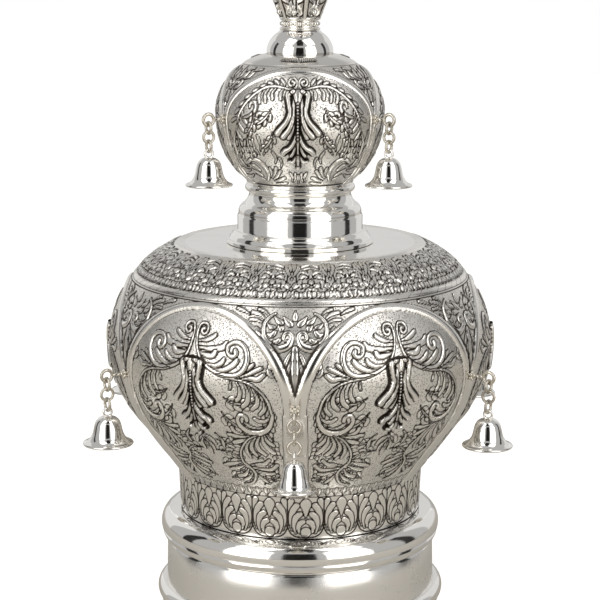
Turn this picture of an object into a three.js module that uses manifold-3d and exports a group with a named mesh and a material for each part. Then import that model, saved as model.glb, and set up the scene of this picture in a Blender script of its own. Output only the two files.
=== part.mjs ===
// A silver torah crown: a spun base, a chased bulb, a turned neck, a smaller chased bulb and a leafy coronet,
// with cast leaves on the panels and small hollow bells that hang from eyelets on short chains.
// Millimetres, +Z up, origin at the middle of the underside, front at -Y.

import * as THREE from 'three';
import { mergeVertices } from 'three/addons/utils/BufferGeometryUtils.js';
import Module from 'manifold-3d';

const wasm = await Module();
wasm.setup();

// ---- driving dimensions ----

const gap = 0.3;              // clearance where two pieces touch

const baseTop = 53.3;         // top of the torus moulding, where the body stands
const baseWall = 2;
const footRadius = 75;
const beadHeight = 1.9;       // middle of the small bead over the foot
const beadArc = 1.6;
const rollRadius = 77.5;
const rollHeight = 8.2;       // middle of the roll under the drum
const rollArc = 4.7;
const drumFoot = 12.4;
const drumTop = 36;
const torusArc = 8.7;
const restWidth = 7;          // of the turned-in rim that it stands on
const drumRadius = 72;
const torusRadius = 75.2;

const bodyFoot = baseTop + gap;
const bandRadius = 64.5;      // upright wall of the palmette band
const bandHeight = 22.4;
const bodyRadius = 101;       // widest ring of the body
const bodyWidest = 144.5;     // its height
const bellyArc = 62;          // profile radius below the widest ring
const shoulderArc = 56;       // profile radius above it
const bellyTurn = 41;         // degrees of each arc
const shoulderTurn = 70;
const plateDrop = 0.5;        // the top plate falls this much towards the neck
const bodyHole = 30;
const bodyWall = 1.6;
const bodyWallRings = [165, 145, 122, 90, 54, 22];   // distances up the profile, inside

const panelCount = 6;
const palmetteCount = 22;
const palmetteTurn = 4;       // degrees from the front to the middle of a palmette
const lobeCount = 26;
const palmetteRise = 0.5;
const lobeRise = 1;
const lobeFoot = 144;         // distances up the profile
const lobeMiddle = 153;
const lobeEnd = 163;
const panelSpring = 84;       // distance up the profile where an arch starts
const panelArch = 53.6;       // rise of the arch
const panelTop = 139;
const ribWidth = 6;
const ribHeight = 1.1;

const neckFoot = 196.9;
const flangeRadius = 39;
const flangeHeight = 2.2;
const neckRadius = 33;        // of the upright drum
const neckDrumTop = 211.6;
const neckBore = 31;
const neckTop = 229.4;

const bulbFoot = neckTop + gap;
const bulbRadius = 43.9;
const bulbWidest = 264;
const bulbBellyArc = 44.5;
const bulbShoulderArc = 31.5;
const bulbBellyTurn = 50;
const bulbShoulderTurn = 79;
const bulbWall = 1.4;
const bulbPanelCount = 3;
const bulbSpring = 37.5;
const bulbArch = 30;
const bulbPanelTop = 69;
const bulbRibWidth = 3.4;
const bulbRibHeight = 0.8;
const bulbHole = 9;
const bulbWallRings = [70, 54, 37, 18];
const bulbStandOff = 0.6;     // the lower edge is turned in this much

const collarRadius = 17.3;

const collarFoot = 295.4;
const collarTop = 307;
const coronetFoot = collarTop + gap;
const ringHeight = 7;
const ringRadius = 10.5;
const ringBore = 8.2;
const petalCount = 6;
const petalLength = 33;

const leafLength = 40;
const leafReach = 11;         // half of its width, at the tips of the side lobes
const leafDepth = 2.6;
const leafGap = 0.6;          // the flat-faced solids keep this between a leaf and its panel
const leafLowerMiddle = 90;   // distance up the body's profile
const leafUpperMiddle = 35;   // distance up the upper bulb's profile

const eyeletRadius = 2.9;     // of the loop's centre line
const eyeletWire = 0.75;
const eyeletLowerHeight = 136.4;
const eyeletUpperHeight = 263.4;
const eyeletFrontHeight = 129.6;
const eyeletLowerReach = 111.5;
const eyeletUpperReach = 53;

const linkWire = 0.62;
const linkCount = 3;
const lowerLinkRadius = 3.2;
const upperLinkRadius = 2.9;
const bellLoopRadius = 2.2;
const bellLoopHeight = 1.9;   // of its centre above the bell's crown
const bellLoopWire = 0.5;
const bellRim = 13.5;
const bellHeight = 14.8;
const frontBellWidth = 0.83;  // the bell at the front is slimmer than its neighbours
const upperBellWidth = 0.94;

// ---- materials ----

const silver = (color, roughness) => new THREE.MeshStandardMaterial({ color, roughness, metalness: 1 });
const polishedSilver = silver(0xe4e1da, 0.12);
const chasedSilver = silver(0xc9c5bc, 0.3);
const castSilver = silver(0xa8a49b, 0.3);
const wireSilver = silver(0xd8d3c6, 0.22);

// ---- helpers ----

const radians = THREE.MathUtils.degToRad;
const lerp = THREE.MathUtils.lerp;

// A point at an angle from the front (-Y) towards +X.
function around(angle, radius, height) {
  return new THREE.Vector3(radius * Math.sin(angle), -radius * Math.cos(angle), height);
}

// A closed body turned about Z from a profile of [radius, height] pairs.
function turned(profile, segments) {
  const points = profile.map(([r, z]) => new THREE.Vector2(r, z));
  return new THREE.LatheGeometry(points, segments).rotateX(Math.PI / 2);
}

// Points on an arc in the [radius, height] plane, angles in degrees.
function arc(r, z, radius, from, to, steps) {
  const points = [];
  for (let i = 0; i <= steps; i++) {
    const a = radians(lerp(from, to, i / steps));
    points.push([r + radius * Math.cos(a), z + radius * Math.sin(a)]);
  }
  return points;
}

// Only positions, with shared vertices merged.
function welded(geometry) {
  const bare = geometry.index ? geometry.toNonIndexed() : geometry.clone();
  for (const name of Object.keys(bare.attributes)) {
    if (name !== 'position') bare.deleteAttribute(name);
  }
  return mergeVertices(bare, 1e-3);
}

// A geometry from a flat list of corner points, three for each triangle. Corners that meet become one
// vertex, and triangles that this flattens are dropped.
function fromTriangles(corners) {
  const numbers = new Map();
  const points = [];
  const numberOf = (p) => {
    const key = p.toArray().map((v) => Math.round(v * 1000) + 0).join();
    if (!numbers.has(key)) {
      numbers.set(key, points.length);
      points.push(p);
    }
    return numbers.get(key);
  };
  const index = [];
  for (let i = 0; i < corners.length; i += 3) {
    const [a, b, c] = corners.slice(i, i + 3).map(numberOf);
    if (a !== b && b !== c && c !== a) index.push(a, b, c);
  }
  return new THREE.BufferGeometry().setFromPoints(points).setIndex(index);
}

function toSolid(geometry) {
  const bare = welded(geometry);
  return new wasm.Manifold(new wasm.Mesh({
    numProp: 3,
    vertProperties: new Float32Array(bare.attributes.position.array),
    triVerts: new Uint32Array(bare.index.array),
  }));
}

function joined(geometries) {
  const whole = geometries.map(toSolid).reduce((sum, next) => sum.add(next));
  const mesh = whole.getMesh();
  const geometry = new THREE.BufferGeometry();
  geometry.setAttribute('position', new THREE.BufferAttribute(new Float32Array(mesh.vertProperties), 3));
  geometry.setIndex(Array.from(mesh.triVerts));
  return geometry;
}

const group = new THREE.Group();

function place(name, geometry, material, parent = group) {
  const mesh = new THREE.Mesh(geometry, material);
  mesh.name = name;
  parent.add(mesh);
  return mesh;
}

// ---- chased bulbs: a wall that follows a profile, with panels under arches ----

// Where a bulb's surface lies: u is the distance round its widest ring, s the distance up its profile,
// and rise the height of the relief above the plain surface.
function surfaceOf(path, widest) {
  const length = path.getLength();
  return {
    widest,
    length,
    radiusAt: (s) => path.getPoint(s / length).x,
    point(u, s, rise = 0) {
      const t = s / length;
      const p = path.getPoint(t);
      const along = path.getTangent(t);
      return around(u / widest, p.x + along.y * rise, p.y - along.x * rise);
    },
  };
}

function bodySurface() {
  const path = new THREE.Path();
  path.moveTo(bandRadius, bodyFoot);
  path.lineTo(bandRadius + 1, bodyFoot + bandHeight);
  path.absarc(bodyRadius - bellyArc, bodyWidest, bellyArc, radians(-bellyTurn), 0);
  path.absarc(bodyRadius - shoulderArc, bodyWidest, shoulderArc, 0, radians(shoulderTurn));
  const rim = path.getPoint(1);
  path.lineTo(bodyHole, rim.y - plateDrop);
  return surfaceOf(path, bodyRadius);
}

function bulbSurface() {
  const path = new THREE.Path();
  const foot = radians(-bulbBellyTurn);
  path.moveTo(bulbRadius - bulbBellyArc * (1 - Math.cos(foot)) - bulbStandOff, bulbFoot);
  path.absarc(bulbRadius - bulbBellyArc, bulbWidest, bulbBellyArc, foot, 0);
  path.absarc(bulbRadius - bulbShoulderArc, bulbWidest, bulbShoulderArc, 0, radians(bulbShoulderTurn));
  const rim = path.getPoint(1);
  path.lineTo(bulbHole, rim.y);
  return surfaceOf(path, bulbRadius);
}

// A ring of points round the surface, one for each column.
function ring(surface, columns, s, rise = () => 0, turn = 0) {
  const points = [];
  for (let i = 0; i < columns; i++) {
    const angle = (2 * Math.PI * i) / columns + turn;
    points.push(surface.point(angle * surface.widest, s, rise(i)));
  }
  return points;
}

const angleOf = (p) => (Math.atan2(p.x, -p.y) + 2 * Math.PI) % (2 * Math.PI);

// Triangles between two rings whose columns needn't match, as seen with the first ring below the second.
function zip(below, above) {
  const a = [...below].sort((p, q) => angleOf(p) - angleOf(q));
  const b = [...above].sort((p, q) => angleOf(p) - angleOf(q));
  const turnOf = (points, i) => angleOf(points[i % points.length]) + 2 * Math.PI * Math.floor(i / points.length);
  const corners = [];
  let i = 0;
  let j = 0;
  while (i < a.length || j < b.length) {
    const stepBelow = j >= b.length || (i < a.length && turnOf(a, i + 1) <= turnOf(b, j + 1));
    if (stepBelow) {
      corners.push(a[i % a.length], a[(i + 1) % a.length], b[j % b.length]);
      i += 1;
    } else {
      corners.push(a[i % a.length], b[(j + 1) % b.length], b[j % b.length]);
      j += 1;
    }
  }
  return corners;
}

const quad = (a, b, c, d) => [a, b, c, a, c, d];

// The panels under their arches, and the spandrels between. Each panel has straight sides below the
// springing line and half an ellipse above it. shares are parts of the half width from its middle line.
// With start 0 the first panel is at the front, and with start 1 the strip between two panels is.
function archedPanels(surface, { count, start, footS, springS, archRise, topS, rows, rays, rib, crest }) {
  const half = (Math.PI / count) * surface.widest;
  const inner = 1 - rib / half;
  const shares = [0, 0.36 * inner, 0.7 * inner, inner, (1 + inner) / 2, 1];
  const rises = [0, 0, 0, 0, crest, 0];
  const corners = [];
  const bottom = [];
  const top = [];
  for (let sector = 0; sector < count; sector++) {
    const middle = (2 * sector + start) * half;
    const at = (share, s, rise) => surface.point(middle + share * half, s, rise);

    // straight sides: the strip between two panels keeps its width as the body narrows
    const lowerRow = (k) => {
      const s = lerp(footS, springS, k / rows);
      const narrow = (1 - (rib * surface.radiusAt(springS)) / (surface.radiusAt(s) * half)) / inner;
      const own = shares.map((share, n) => (n <= 3 ? share * narrow : lerp(inner * narrow, 1, (n - 3) / 2)));
      const fade = Math.min(1, k);
      const lift = [0, 0, 0, 0, crest * fade, crest * fade];
      const right = own.map((share, n) => at(share, s, lift[n]));
      const left = own.map((share, n) => at(-share, s, lift[n])).slice(1).reverse();
      return [...left, ...right];
    };
    for (let k = 0; k < rows; k++) {
      const low = lowerRow(k);
      const high = lowerRow(k + 1);
      for (let n = 0; n + 1 < low.length; n++) {
        corners.push(...quad(low[n], low[n + 1], high[n + 1], high[n]));
      }
      if (k === 0) bottom.push(...low.slice(0, -1));
    }

    // the arch: rings of the same shares, swept over half a turn
    const archPoint = (n, ray) => {
      const a = (Math.PI * ray) / rays;
      const onSide = ray === 0 || ray === rays;
      const rise = n === 5 && onSide ? crest : rises[n];
      return at(shares[n] * Math.cos(a), springS + shares[n] * archRise * Math.sin(a), rise);
    };
    const framePoint = (ray) => {
      const a = (Math.PI * ray) / rays;
      const reach = 1 / Math.max(Math.abs(Math.cos(a)), Math.abs(Math.sin(a)));
      const onSide = ray === 0 || ray === rays;
      return at(reach * Math.cos(a), springS + (topS - springS) * reach * Math.sin(a), onSide ? crest : 0);
    };
    for (let ray = 0; ray < rays; ray++) {
      for (let n = 0; n < 5; n++) {
        const a = archPoint(n, ray);
        const b = archPoint(n + 1, ray);
        corners.push(...quad(a, b, archPoint(n + 1, ray + 1), archPoint(n, ray + 1)));
      }
      corners.push(...quad(archPoint(5, ray), framePoint(ray), framePoint(ray + 1), archPoint(5, ray + 1)));
    }
    for (let ray = rays / 4; ray < (3 * rays) / 4; ray++) top.push(framePoint(ray));
  }
  return { corners, bottom, top };
}

function bodyGeometry() {
  const surface = bodySurface();
  const panels = archedPanels(surface, {
    count: panelCount, start: 1, footS: bandHeight + 4, springS: panelSpring, archRise: panelArch,
    topS: panelTop, rows: 3, rays: 12, rib: ribWidth, crest: ribHeight,
  });
  const tongue = (i) => (i % 2 ? -palmetteRise : palmetteRise);
  const tongues = palmetteCount * 2;
  const bandRing = (s, rise) => ring(surface, tongues, s, rise, radians(palmetteTurn));
  const lobe = (i) => (i % 2 ? -0.3 : lobeRise);
  const lobes = lobeCount * 2;
  const inner = 24;
  const wall = () => -bodyWall;
  const rings = [
    bandRing(0, () => 0),
    bandRing(2.5, tongue),
    bandRing(bandHeight - 3.5, tongue),
    bandRing(bandHeight, () => -0.3),
  ];
  const shoulder = [
    ring(surface, lobes, lobeFoot),
    ring(surface, lobes, lobeMiddle, lobe),
    ring(surface, lobes, lobeEnd),
    ring(surface, inner, lobeEnd + 1.5),
    ring(surface, inner, surface.length),
    ring(surface, inner, surface.length, wall),
    ...bodyWallRings.map((s) => ring(surface, inner, s, wall)),
    ring(surface, inner, 0, wall),
    bandRing(0, () => 0),
  ];
  const corners = [...panels.corners];
  for (const run of [[...rings, panels.bottom], [panels.top, ...shoulder]]) {
    for (let i = 0; i + 1 < run.length; i++) corners.push(...zip(run[i], run[i + 1]));
  }
  return fromTriangles(corners);
}

function bulbGeometry() {
  const surface = bulbSurface();
  const panels = archedPanels(surface, {
    count: bulbPanelCount, start: 0, footS: 4, springS: bulbSpring, archRise: bulbArch, topS: bulbPanelTop,
    rows: 2, rays: 12, rib: bulbRibWidth, crest: bulbRibHeight,
  });
  const columns = 20;
  const wall = () => -bulbWall;
  const shoulder = [
    ring(surface, columns, surface.length - 10),
    ring(surface, columns, surface.length),
    ring(surface, columns, surface.length, wall),
    ...bulbWallRings.map((s) => ring(surface, columns, s, wall)),
    ring(surface, columns, 0, wall),
    ring(surface, columns, 0),
    panels.bottom,
  ];
  const corners = [...panels.corners];
  const run = [panels.top, ...shoulder];
  for (let i = 0; i + 1 < run.length; i++) corners.push(...zip(run[i], run[i + 1]));
  return fromTriangles(corners);
}

// ---- turned pieces ----

function baseGeometry() {
  const inside = drumRadius - baseWall;
  const rest = footRadius - restWidth;
  return turned([
    [rest, 0],
    [footRadius, 0],
    ...arc(footRadius + 0.4 - beadArc, beadHeight, beadArc, -60, 60, 2),
    ...arc(rollRadius - rollArc, rollHeight, rollArc, -70, 55, 3),
    [drumRadius + 0.6, drumFoot],
    [drumRadius, drumTop],
    [drumRadius - 1.4, drumTop + 0.4],
    ...arc(torusRadius - torusArc, baseTop - torusArc, torusArc, -50, 90, 4),
    [bandRadius - bodyWall, baseTop],
    [inside, 44],
    [inside, 3],
    [rest, 2],
    [rest, 0],
  ], 28);
}

function neckGeometry() {
  return turned([
    [bodyHole, neckFoot],
    [flangeRadius, neckFoot],
    [flangeRadius, neckFoot + flangeHeight],
    [36.6, neckFoot + 4],
    [35, neckFoot + 6.6],
    [neckRadius, neckFoot + 6.8],
    [neckRadius, neckDrumTop],
    [30.6, 218],
    [26.6, 222.6],
    [28.9, 226],
    [28.3, neckTop],
    [25.4, neckTop],
    [25, 221.6],
    [neckBore, neckDrumTop - 1],
    [neckBore, neckFoot + 3],
    [bodyHole, neckFoot],
  ], 24);
}

function collarGeometry() {
  return turned([
    [bulbHole, collarFoot],
    [collarRadius, collarFoot],
    [collarRadius - 0.1, 297.5],
    [16, 301.2],
    [13.8, 304.4],
    [11, collarTop],
    [bulbHole - 0.6, collarTop],
    [bulbHole, collarFoot],
  ], 20);
}

// A petal: an open trough that leans out, widens and narrows to a tip.
function petalGeometry() {
  const stations = [[8.9, 0, 2.6], [10.6, 4, 3.6], [13, 9, 4.6], [15.6, 16, 5], [17.2, 23, 4], [19.6, 29, 2.4]];
  const rows = stations.map(([r, z, half]) => [
    new THREE.Vector3(-half, -r + 1.1, z),
    new THREE.Vector3(0, -r - 0.9, z),
    new THREE.Vector3(half, -r + 1.1, z),
    new THREE.Vector3(0, -r + 0.5, z),
  ]);
  const tip = new THREE.Vector3(0, -21.4, petalLength);
  const corners = [...quad(rows[0][0], rows[0][3], rows[0][2], rows[0][1])];
  rows.forEach((row, n) => {
    const next = rows[n + 1];
    for (let k = 0; k < 4; k++) {
      const m = (k + 1) % 4;
      if (next) corners.push(...quad(row[k], row[m], next[m], next[k]));
      else corners.push(row[k], row[m], tip);
    }
  });
  return fromTriangles(corners);
}

function coronetGeometry() {
  const foot = coronetFoot;
  const top = foot + ringHeight;
  const band = turned([
    [ringBore, foot],
    [ringRadius, foot],
    [ringRadius, foot + 1.6],
    [ringRadius - 0.5, foot + 2.2],
    [ringRadius - 0.5, top - 2.2],
    [ringRadius, top - 1.6],
    [ringRadius, top],
    [ringBore, top],
    [ringBore, foot],
  ], 18);
  const parts = [band];
  for (let i = 0; i < petalCount; i++) {
    const petal = petalGeometry();
    petal.translate(0, 0, top - 1);
    petal.rotateZ((2 * Math.PI * (i + 0.25)) / petalCount);
    parts.push(petal);
  }
  return joined(parts);
}

// ---- cast leaves ----

// Half widths down the leaf from its bud, as shares of its length and of its reach.
const leafOutline = [
  [0.5, 0.16], [0.42, 0.4], [0.2, 0.46], [-0.12, 1], [-0.19, 0.42],
  [-0.33, 0.74], [-0.38, 0.34], [-0.45, 0.44], [-0.5, 0.14],
];

function leafGeometry(surface, middle, centreS) {
  const rows = leafOutline.map(([share, spread]) => {
    const s = centreS + share * leafLength;
    const half = (spread * leafReach * surface.widest) / surface.radiusAt(s);
    const at = (x, rise) => surface.point(middle + x * half, s, leafGap + rise);
    return [at(-1, 0), at(0, 0), at(1, 0), at(0.5, leafDepth), at(-0.5, leafDepth)];
  });
  const corners = [];
  for (let n = 0; n + 1 < rows.length; n++) {
    for (let k = 0; k < 5; k++) {
      const m = (k + 1) % 5;
      corners.push(...quad(rows[n][k], rows[n][m], rows[n + 1][m], rows[n + 1][k]));
    }
  }
  const cap = (row, flip) => {
    for (let k = 1; k < 4; k++) {
      const face = [row[0], row[k], row[k + 1]];
      corners.push(...(flip ? face.reverse() : face));
    }
  };
  cap(rows[0], true);
  cap(rows[rows.length - 1], false);
  return fromTriangles(corners);
}

// ---- eyelets, chains and bells, each made at the front and turned into place ----

// A ring of three-sided wire with six straight runs and a corner at its top and bottom.
function hoop(radius, wire, faceFront) {
  const geometry = new THREE.TorusGeometry(radius, wire, 3, 6).rotateZ(Math.PI / 6);
  return faceFront ? geometry.rotateX(Math.PI / 2) : geometry.rotateY(Math.PI / 2);
}

function rod(radius, from, to, sides) {
  const geometry = new THREE.CylinderGeometry(radius, radius, to - from, sides);
  return geometry.translate(0, -(from + to) / 2, 0);
}

function eyeletGeometry(reach, start) {
  const loop = hoop(eyeletRadius, eyeletWire, false).translate(0, -reach, 0);
  const shank = rod(0.9, start, reach - eyeletRadius * 0.9, 4);
  const rosette = rod(2.6, start, start + 1.4, 6);
  return joined([loop, shank, rosette]);
}

function chainGeometry(linkRadius) {
  const pitch = 2 * (linkRadius - linkWire) + 0.12;
  const first = -eyeletRadius + eyeletWire + linkWire + gap - linkRadius;
  const rings = [];
  for (let i = 0; i < linkCount; i++) {
    rings.push(hoop(linkRadius, linkWire, i % 2 === 0).translate(0, 0, first - i * pitch));
  }
  return { geometry: joined(rings), bottom: first - (linkCount - 1) * pitch - linkRadius };
}

function bellGeometry(width) {
  const cup = turned([
    [0, -1.3],
    [6.4, -6],
    [9.2, -11.9],
    [bellRim - 0.2, -bellHeight],
    [bellRim, -bellHeight + 0.9],
    [9.8, -11],
    [7.4, -6.6],
    [5.4, -2],
    [0, 0],
  ], 8).scale(width, width, 1);
  const loop = hoop(bellLoopRadius, bellLoopWire, linkCount % 2 === 0).translate(0, 0, bellLoopHeight);
  return joined([cup, loop]);
}

// One station: a group at the eyelet's height, turned about Z; its pieces are made at the front.
function station(kind, number, angle, { height, reach, start, linkRadius, bellWidth }) {
  const arm = new THREE.Group();
  arm.rotation.z = angle;
  arm.position.z = height;
  group.add(arm);
  const tag = `${kind}_${number}`;
  place(`eyelet_${tag}`, eyeletGeometry(reach, start), wireSilver, arm);
  const chain = chainGeometry(linkRadius);
  place(`chain_${tag}`, chain.geometry, wireSilver, arm).position.y = -reach;
  const bell = place(`bell_${tag}`, bellGeometry(bellWidth), polishedSilver, arm);
  const loopTop = chain.bottom + linkWire + bellLoopWire + gap;
  bell.position.set(0, -reach, loopTop - bellLoopRadius - bellLoopHeight);
}

// Where a shank starts: just off the rib, at a height on the lower half of a bulb's profile.
function shankStart(widestRadius, profileArc, below, rib) {
  return widestRadius - profileArc + Math.sqrt(profileArc ** 2 - below ** 2) + rib + gap;
}

// ---- the whole crown ----

place('base', baseGeometry(), polishedSilver);
place('body', bodyGeometry(), chasedSilver);
place('neck', neckGeometry(), polishedSilver);
place('upper_bulb', bulbGeometry(), chasedSilver);
place('collar', collarGeometry(), polishedSilver);
place('coronet', coronetGeometry(), castSilver);

const bodySkin = bodySurface();
const bulbSkin = bulbSurface();
for (let i = 0; i < panelCount; i++) {
  const middle = ((2 * i + 1) * Math.PI * bodyRadius) / panelCount;
  place(`leaf_lower_${i + 1}`, leafGeometry(bodySkin, middle, leafLowerMiddle), castSilver);
  const isFront = i === 0;
  const height = isFront ? eyeletFrontHeight : eyeletLowerHeight;
  station('lower', i + 1, (2 * Math.PI * i) / panelCount, {
    height,
    reach: eyeletLowerReach,
    start: shankStart(bodyRadius, bellyArc, bodyWidest - height, ribHeight),
    linkRadius: lowerLinkRadius,
    bellWidth: isFront ? frontBellWidth : 1,
  });
}
for (let i = 0; i < bulbPanelCount; i++) {
  const middle = (2 * i * Math.PI * bulbRadius) / bulbPanelCount;
  place(`leaf_upper_${i + 1}`, leafGeometry(bulbSkin, middle, leafUpperMiddle), castSilver);
  station('upper', i + 1, ((2 * i + 1) * Math.PI) / bulbPanelCount, {
    height: eyeletUpperHeight,
    reach: eyeletUpperReach,
    start: shankStart(bulbRadius, bulbBellyArc, bulbWidest - eyeletUpperHeight, bulbRibHeight),
    linkRadius: upperLinkRadius,
    bellWidth: upperBellWidth,
  });
}

export default group;
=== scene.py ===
import math

import bpy
import numpy as np
from mathutils import Matrix, Vector


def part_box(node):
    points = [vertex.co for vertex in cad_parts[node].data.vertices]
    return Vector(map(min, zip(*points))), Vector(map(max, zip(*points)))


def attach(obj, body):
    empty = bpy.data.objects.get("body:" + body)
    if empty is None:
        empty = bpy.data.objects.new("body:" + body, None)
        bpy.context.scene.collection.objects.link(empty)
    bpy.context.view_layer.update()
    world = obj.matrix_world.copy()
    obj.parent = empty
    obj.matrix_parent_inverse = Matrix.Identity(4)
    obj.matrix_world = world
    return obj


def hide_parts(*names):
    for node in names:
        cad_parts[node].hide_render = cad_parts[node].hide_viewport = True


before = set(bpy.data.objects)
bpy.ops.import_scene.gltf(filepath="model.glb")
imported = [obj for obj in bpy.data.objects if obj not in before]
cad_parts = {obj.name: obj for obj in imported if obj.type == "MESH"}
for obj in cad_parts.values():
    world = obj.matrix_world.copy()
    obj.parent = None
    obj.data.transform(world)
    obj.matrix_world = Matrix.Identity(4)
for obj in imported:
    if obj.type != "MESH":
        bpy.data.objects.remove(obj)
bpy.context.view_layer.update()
mm = 0.001          # the dictionaries below are in millimetres

print("crown: camera, floor and lights")

cameraSetup = {"distance": 940, "height": 351, "turn": 1.4, "aim": 165, "lens": 107.9}
floorSetup = {"size": 8000, "color": (0.60, 0.57, 0.52), "glow": 0.78}
lightSetup = {
    "backdrop": 1.0,        # what the camera sees behind the crown
    "room": 0.46,           # what the silver reflects between the softboxes
    "softboxes": {
        "left": {"turn": -41, "reach": 950, "height": 420, "width": 640, "tall": 1000, "power": 3.6},
        "right": {"turn": 41, "reach": 950, "height": 420, "width": 640, "tall": 1000, "power": 3.3},
        "leftHigh": {"turn": -48, "reach": 640, "height": 1150, "width": 520, "tall": 620, "power": 1.7},
        "rightHigh": {"turn": 48, "reach": 640, "height": 1150, "width": 520, "tall": 620, "power": 1.6},
        "back": {"turn": 180, "reach": 900, "height": 470, "width": 900, "tall": 620, "power": 0.38},
        "leftBack": {"turn": -140, "reach": 900, "height": 380, "width": 480, "tall": 900, "power": 0.42},
        "rightBack": {"turn": 140, "reach": 900, "height": 380, "width": 480, "tall": 900, "power": 0.36},
    },
}
# dark cards that only the silver sees: the gap between the softboxes, and the ends of the room
cardSetup = {
    "middle": {"turn": 1, "reach": 1300, "height": 260, "width": 620, "tall": 1500, "shade": 0.004},
    "middleHigh": {"turn": 1, "reach": 700, "height": 1250, "width": 430, "tall": 700, "shade": 0.01},
    "leftEnd": {"turn": -98, "reach": 1100, "height": 350, "width": 240, "tall": 1300, "shade": 0.03},
    "rightEnd": {"turn": 98, "reach": 1100, "height": 350, "width": 240, "tall": 1300, "shade": 0.03},
}


# ---- helpers ----

def deselectAll():
    if bpy.context.object and bpy.context.object.mode != "OBJECT":
        bpy.ops.object.mode_set(mode="OBJECT")
    bpy.ops.object.select_all(action="DESELECT")


def makeActive(piece):
    deselectAll()
    piece.select_set(True)
    bpy.context.view_layer.objects.active = piece


def applyPlace(piece):
    # the place goes into the mesh, and the object stays at the origin
    makeActive(piece)
    bpy.ops.object.transform_apply(location=True, rotation=True, scale=True)


def setPoints(piece, points):
    piece.data.vertices.foreach_set("co", np.asarray(points, np.float32).ravel())
    piece.data.update()


def tidyMesh(piece, merge=0.00001, normals=True):
    makeActive(piece)
    bpy.ops.object.mode_set(mode="EDIT")
    bpy.ops.mesh.select_all(action="SELECT")
    bpy.ops.mesh.remove_doubles(threshold=merge)
    if normals:
        bpy.ops.mesh.normals_make_consistent(inside=False)
    bpy.ops.object.mode_set(mode="OBJECT")


def smooth(piece, angle=40):
    makeActive(piece)
    bpy.ops.object.shade_smooth_by_angle(angle=math.radians(angle))


def applyModifiers(piece):
    makeActive(piece)
    for modifier in list(piece.modifiers):
        bpy.ops.object.modifier_apply(modifier=modifier.name)


def joinAll(name, parts):
    deselectAll()
    for part in parts:
        part.select_set(True)
    bpy.context.view_layer.objects.active = parts[0]
    bpy.ops.object.join()
    parts[0].name = name
    return parts[0]


def copyTurned(piece, name, angle):
    # a copy with its own mesh, turned about the crown's axis
    other = piece.copy()
    other.data = piece.data.copy()
    other.name = name
    bpy.context.collection.objects.link(other)
    other.data.transform(Matrix.Rotation(angle, 4, "Z"))
    return other


def dress(piece, nodes, material):
    piece.data.materials.clear()
    piece.data.materials.append(material)
    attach(piece, "root")
    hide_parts(*nodes)
    return piece


def arcPoints(r, z, radius, start, end, steps):
    turns = np.radians(np.linspace(start, end, steps + 1))
    return [(r + radius * math.cos(a), z + radius * math.sin(a)) for a in turns]


def turnedPiece(name, profile, steps):
    # a closed outline of (radius, height) in the XZ plane, spun once round
    deselectAll()
    bpy.ops.mesh.primitive_circle_add(vertices=len(profile), radius=mm, fill_type="NOTHING")
    piece = bpy.context.object
    piece.name = name
    setPoints(piece, [(r * mm, 0, z * mm) for r, z in profile])
    bpy.ops.object.mode_set(mode="EDIT")
    bpy.ops.mesh.select_all(action="SELECT")
    bpy.ops.mesh.spin(steps=steps, angle=2 * math.pi, center=(0, 0, 0), axis=(0, 0, 1))
    bpy.ops.object.mode_set(mode="OBJECT")
    tidyMesh(piece)
    smooth(piece)
    return piece


def mathNode(tree, operation, first, second=None, clamp=False):
    node = tree.nodes.new("ShaderNodeMath")
    node.operation = operation
    node.use_clamp = clamp
    for n, value in enumerate((first, second)):
        if value is None:
            continue
        if isinstance(value, (int, float)):
            node.inputs[n].default_value = value
        else:
            tree.links.new(value, node.inputs[n])
    return node.outputs[0]


def smoothStep(low, high, value):
    t = np.clip((value - low) / (high - low), 0, 1)
    return t * t * (3 - 2 * t)


# ---- camera, floor, lights ----

def addCamera():
    turn = math.radians(cameraSetup["turn"])
    reach = cameraSetup["distance"]
    place = Vector((reach * math.sin(turn), -reach * math.cos(turn), cameraSetup["height"])) * mm
    target = Vector((0, 0, cameraSetup["aim"])) * mm
    look = (target - place).to_track_quat("-Z", "Y").to_euler()
    bpy.ops.object.camera_add(location=place, rotation=look)
    camera = bpy.context.object
    camera.data.lens = cameraSetup["lens"]
    camera.data.sensor_width = 36
    camera.data.clip_start = 0.01
    bpy.context.scene.camera = camera


def aimAt(item, target):
    item.rotation_euler = (Vector(target) * mm - item.location).to_track_quat("-Z", "Y").to_euler()


def standAt(facts):
    turn = math.radians(facts["turn"])
    return Vector((facts["reach"] * math.sin(turn), -facts["reach"] * math.cos(turn), facts["height"])) * mm


def addLights():
    for name, facts in lightSetup["softboxes"].items():
        bpy.ops.object.light_add(type="AREA", location=standAt(facts))
        light = bpy.context.object
        light.name = "softbox_" + name
        light.data.shape = "RECTANGLE"
        light.data.size = facts["width"] * mm
        light.data.size_y = facts["tall"] * mm
        light.data.energy = facts["power"]
        light.data.color = (1.0, 0.985, 0.96)
        light.visible_camera = False
        aimAt(light, (0, 0, 170 if facts["height"] > 600 else facts["height"]))


def plainMaterial(name, color, roughness=0.9):
    material = bpy.data.materials.new(name)
    material.use_nodes = True
    shader = material.node_tree.nodes["Principled BSDF"]
    shader.inputs["Base Color"].default_value = (*color, 1)
    shader.inputs["Roughness"].default_value = roughness
    return material


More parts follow.
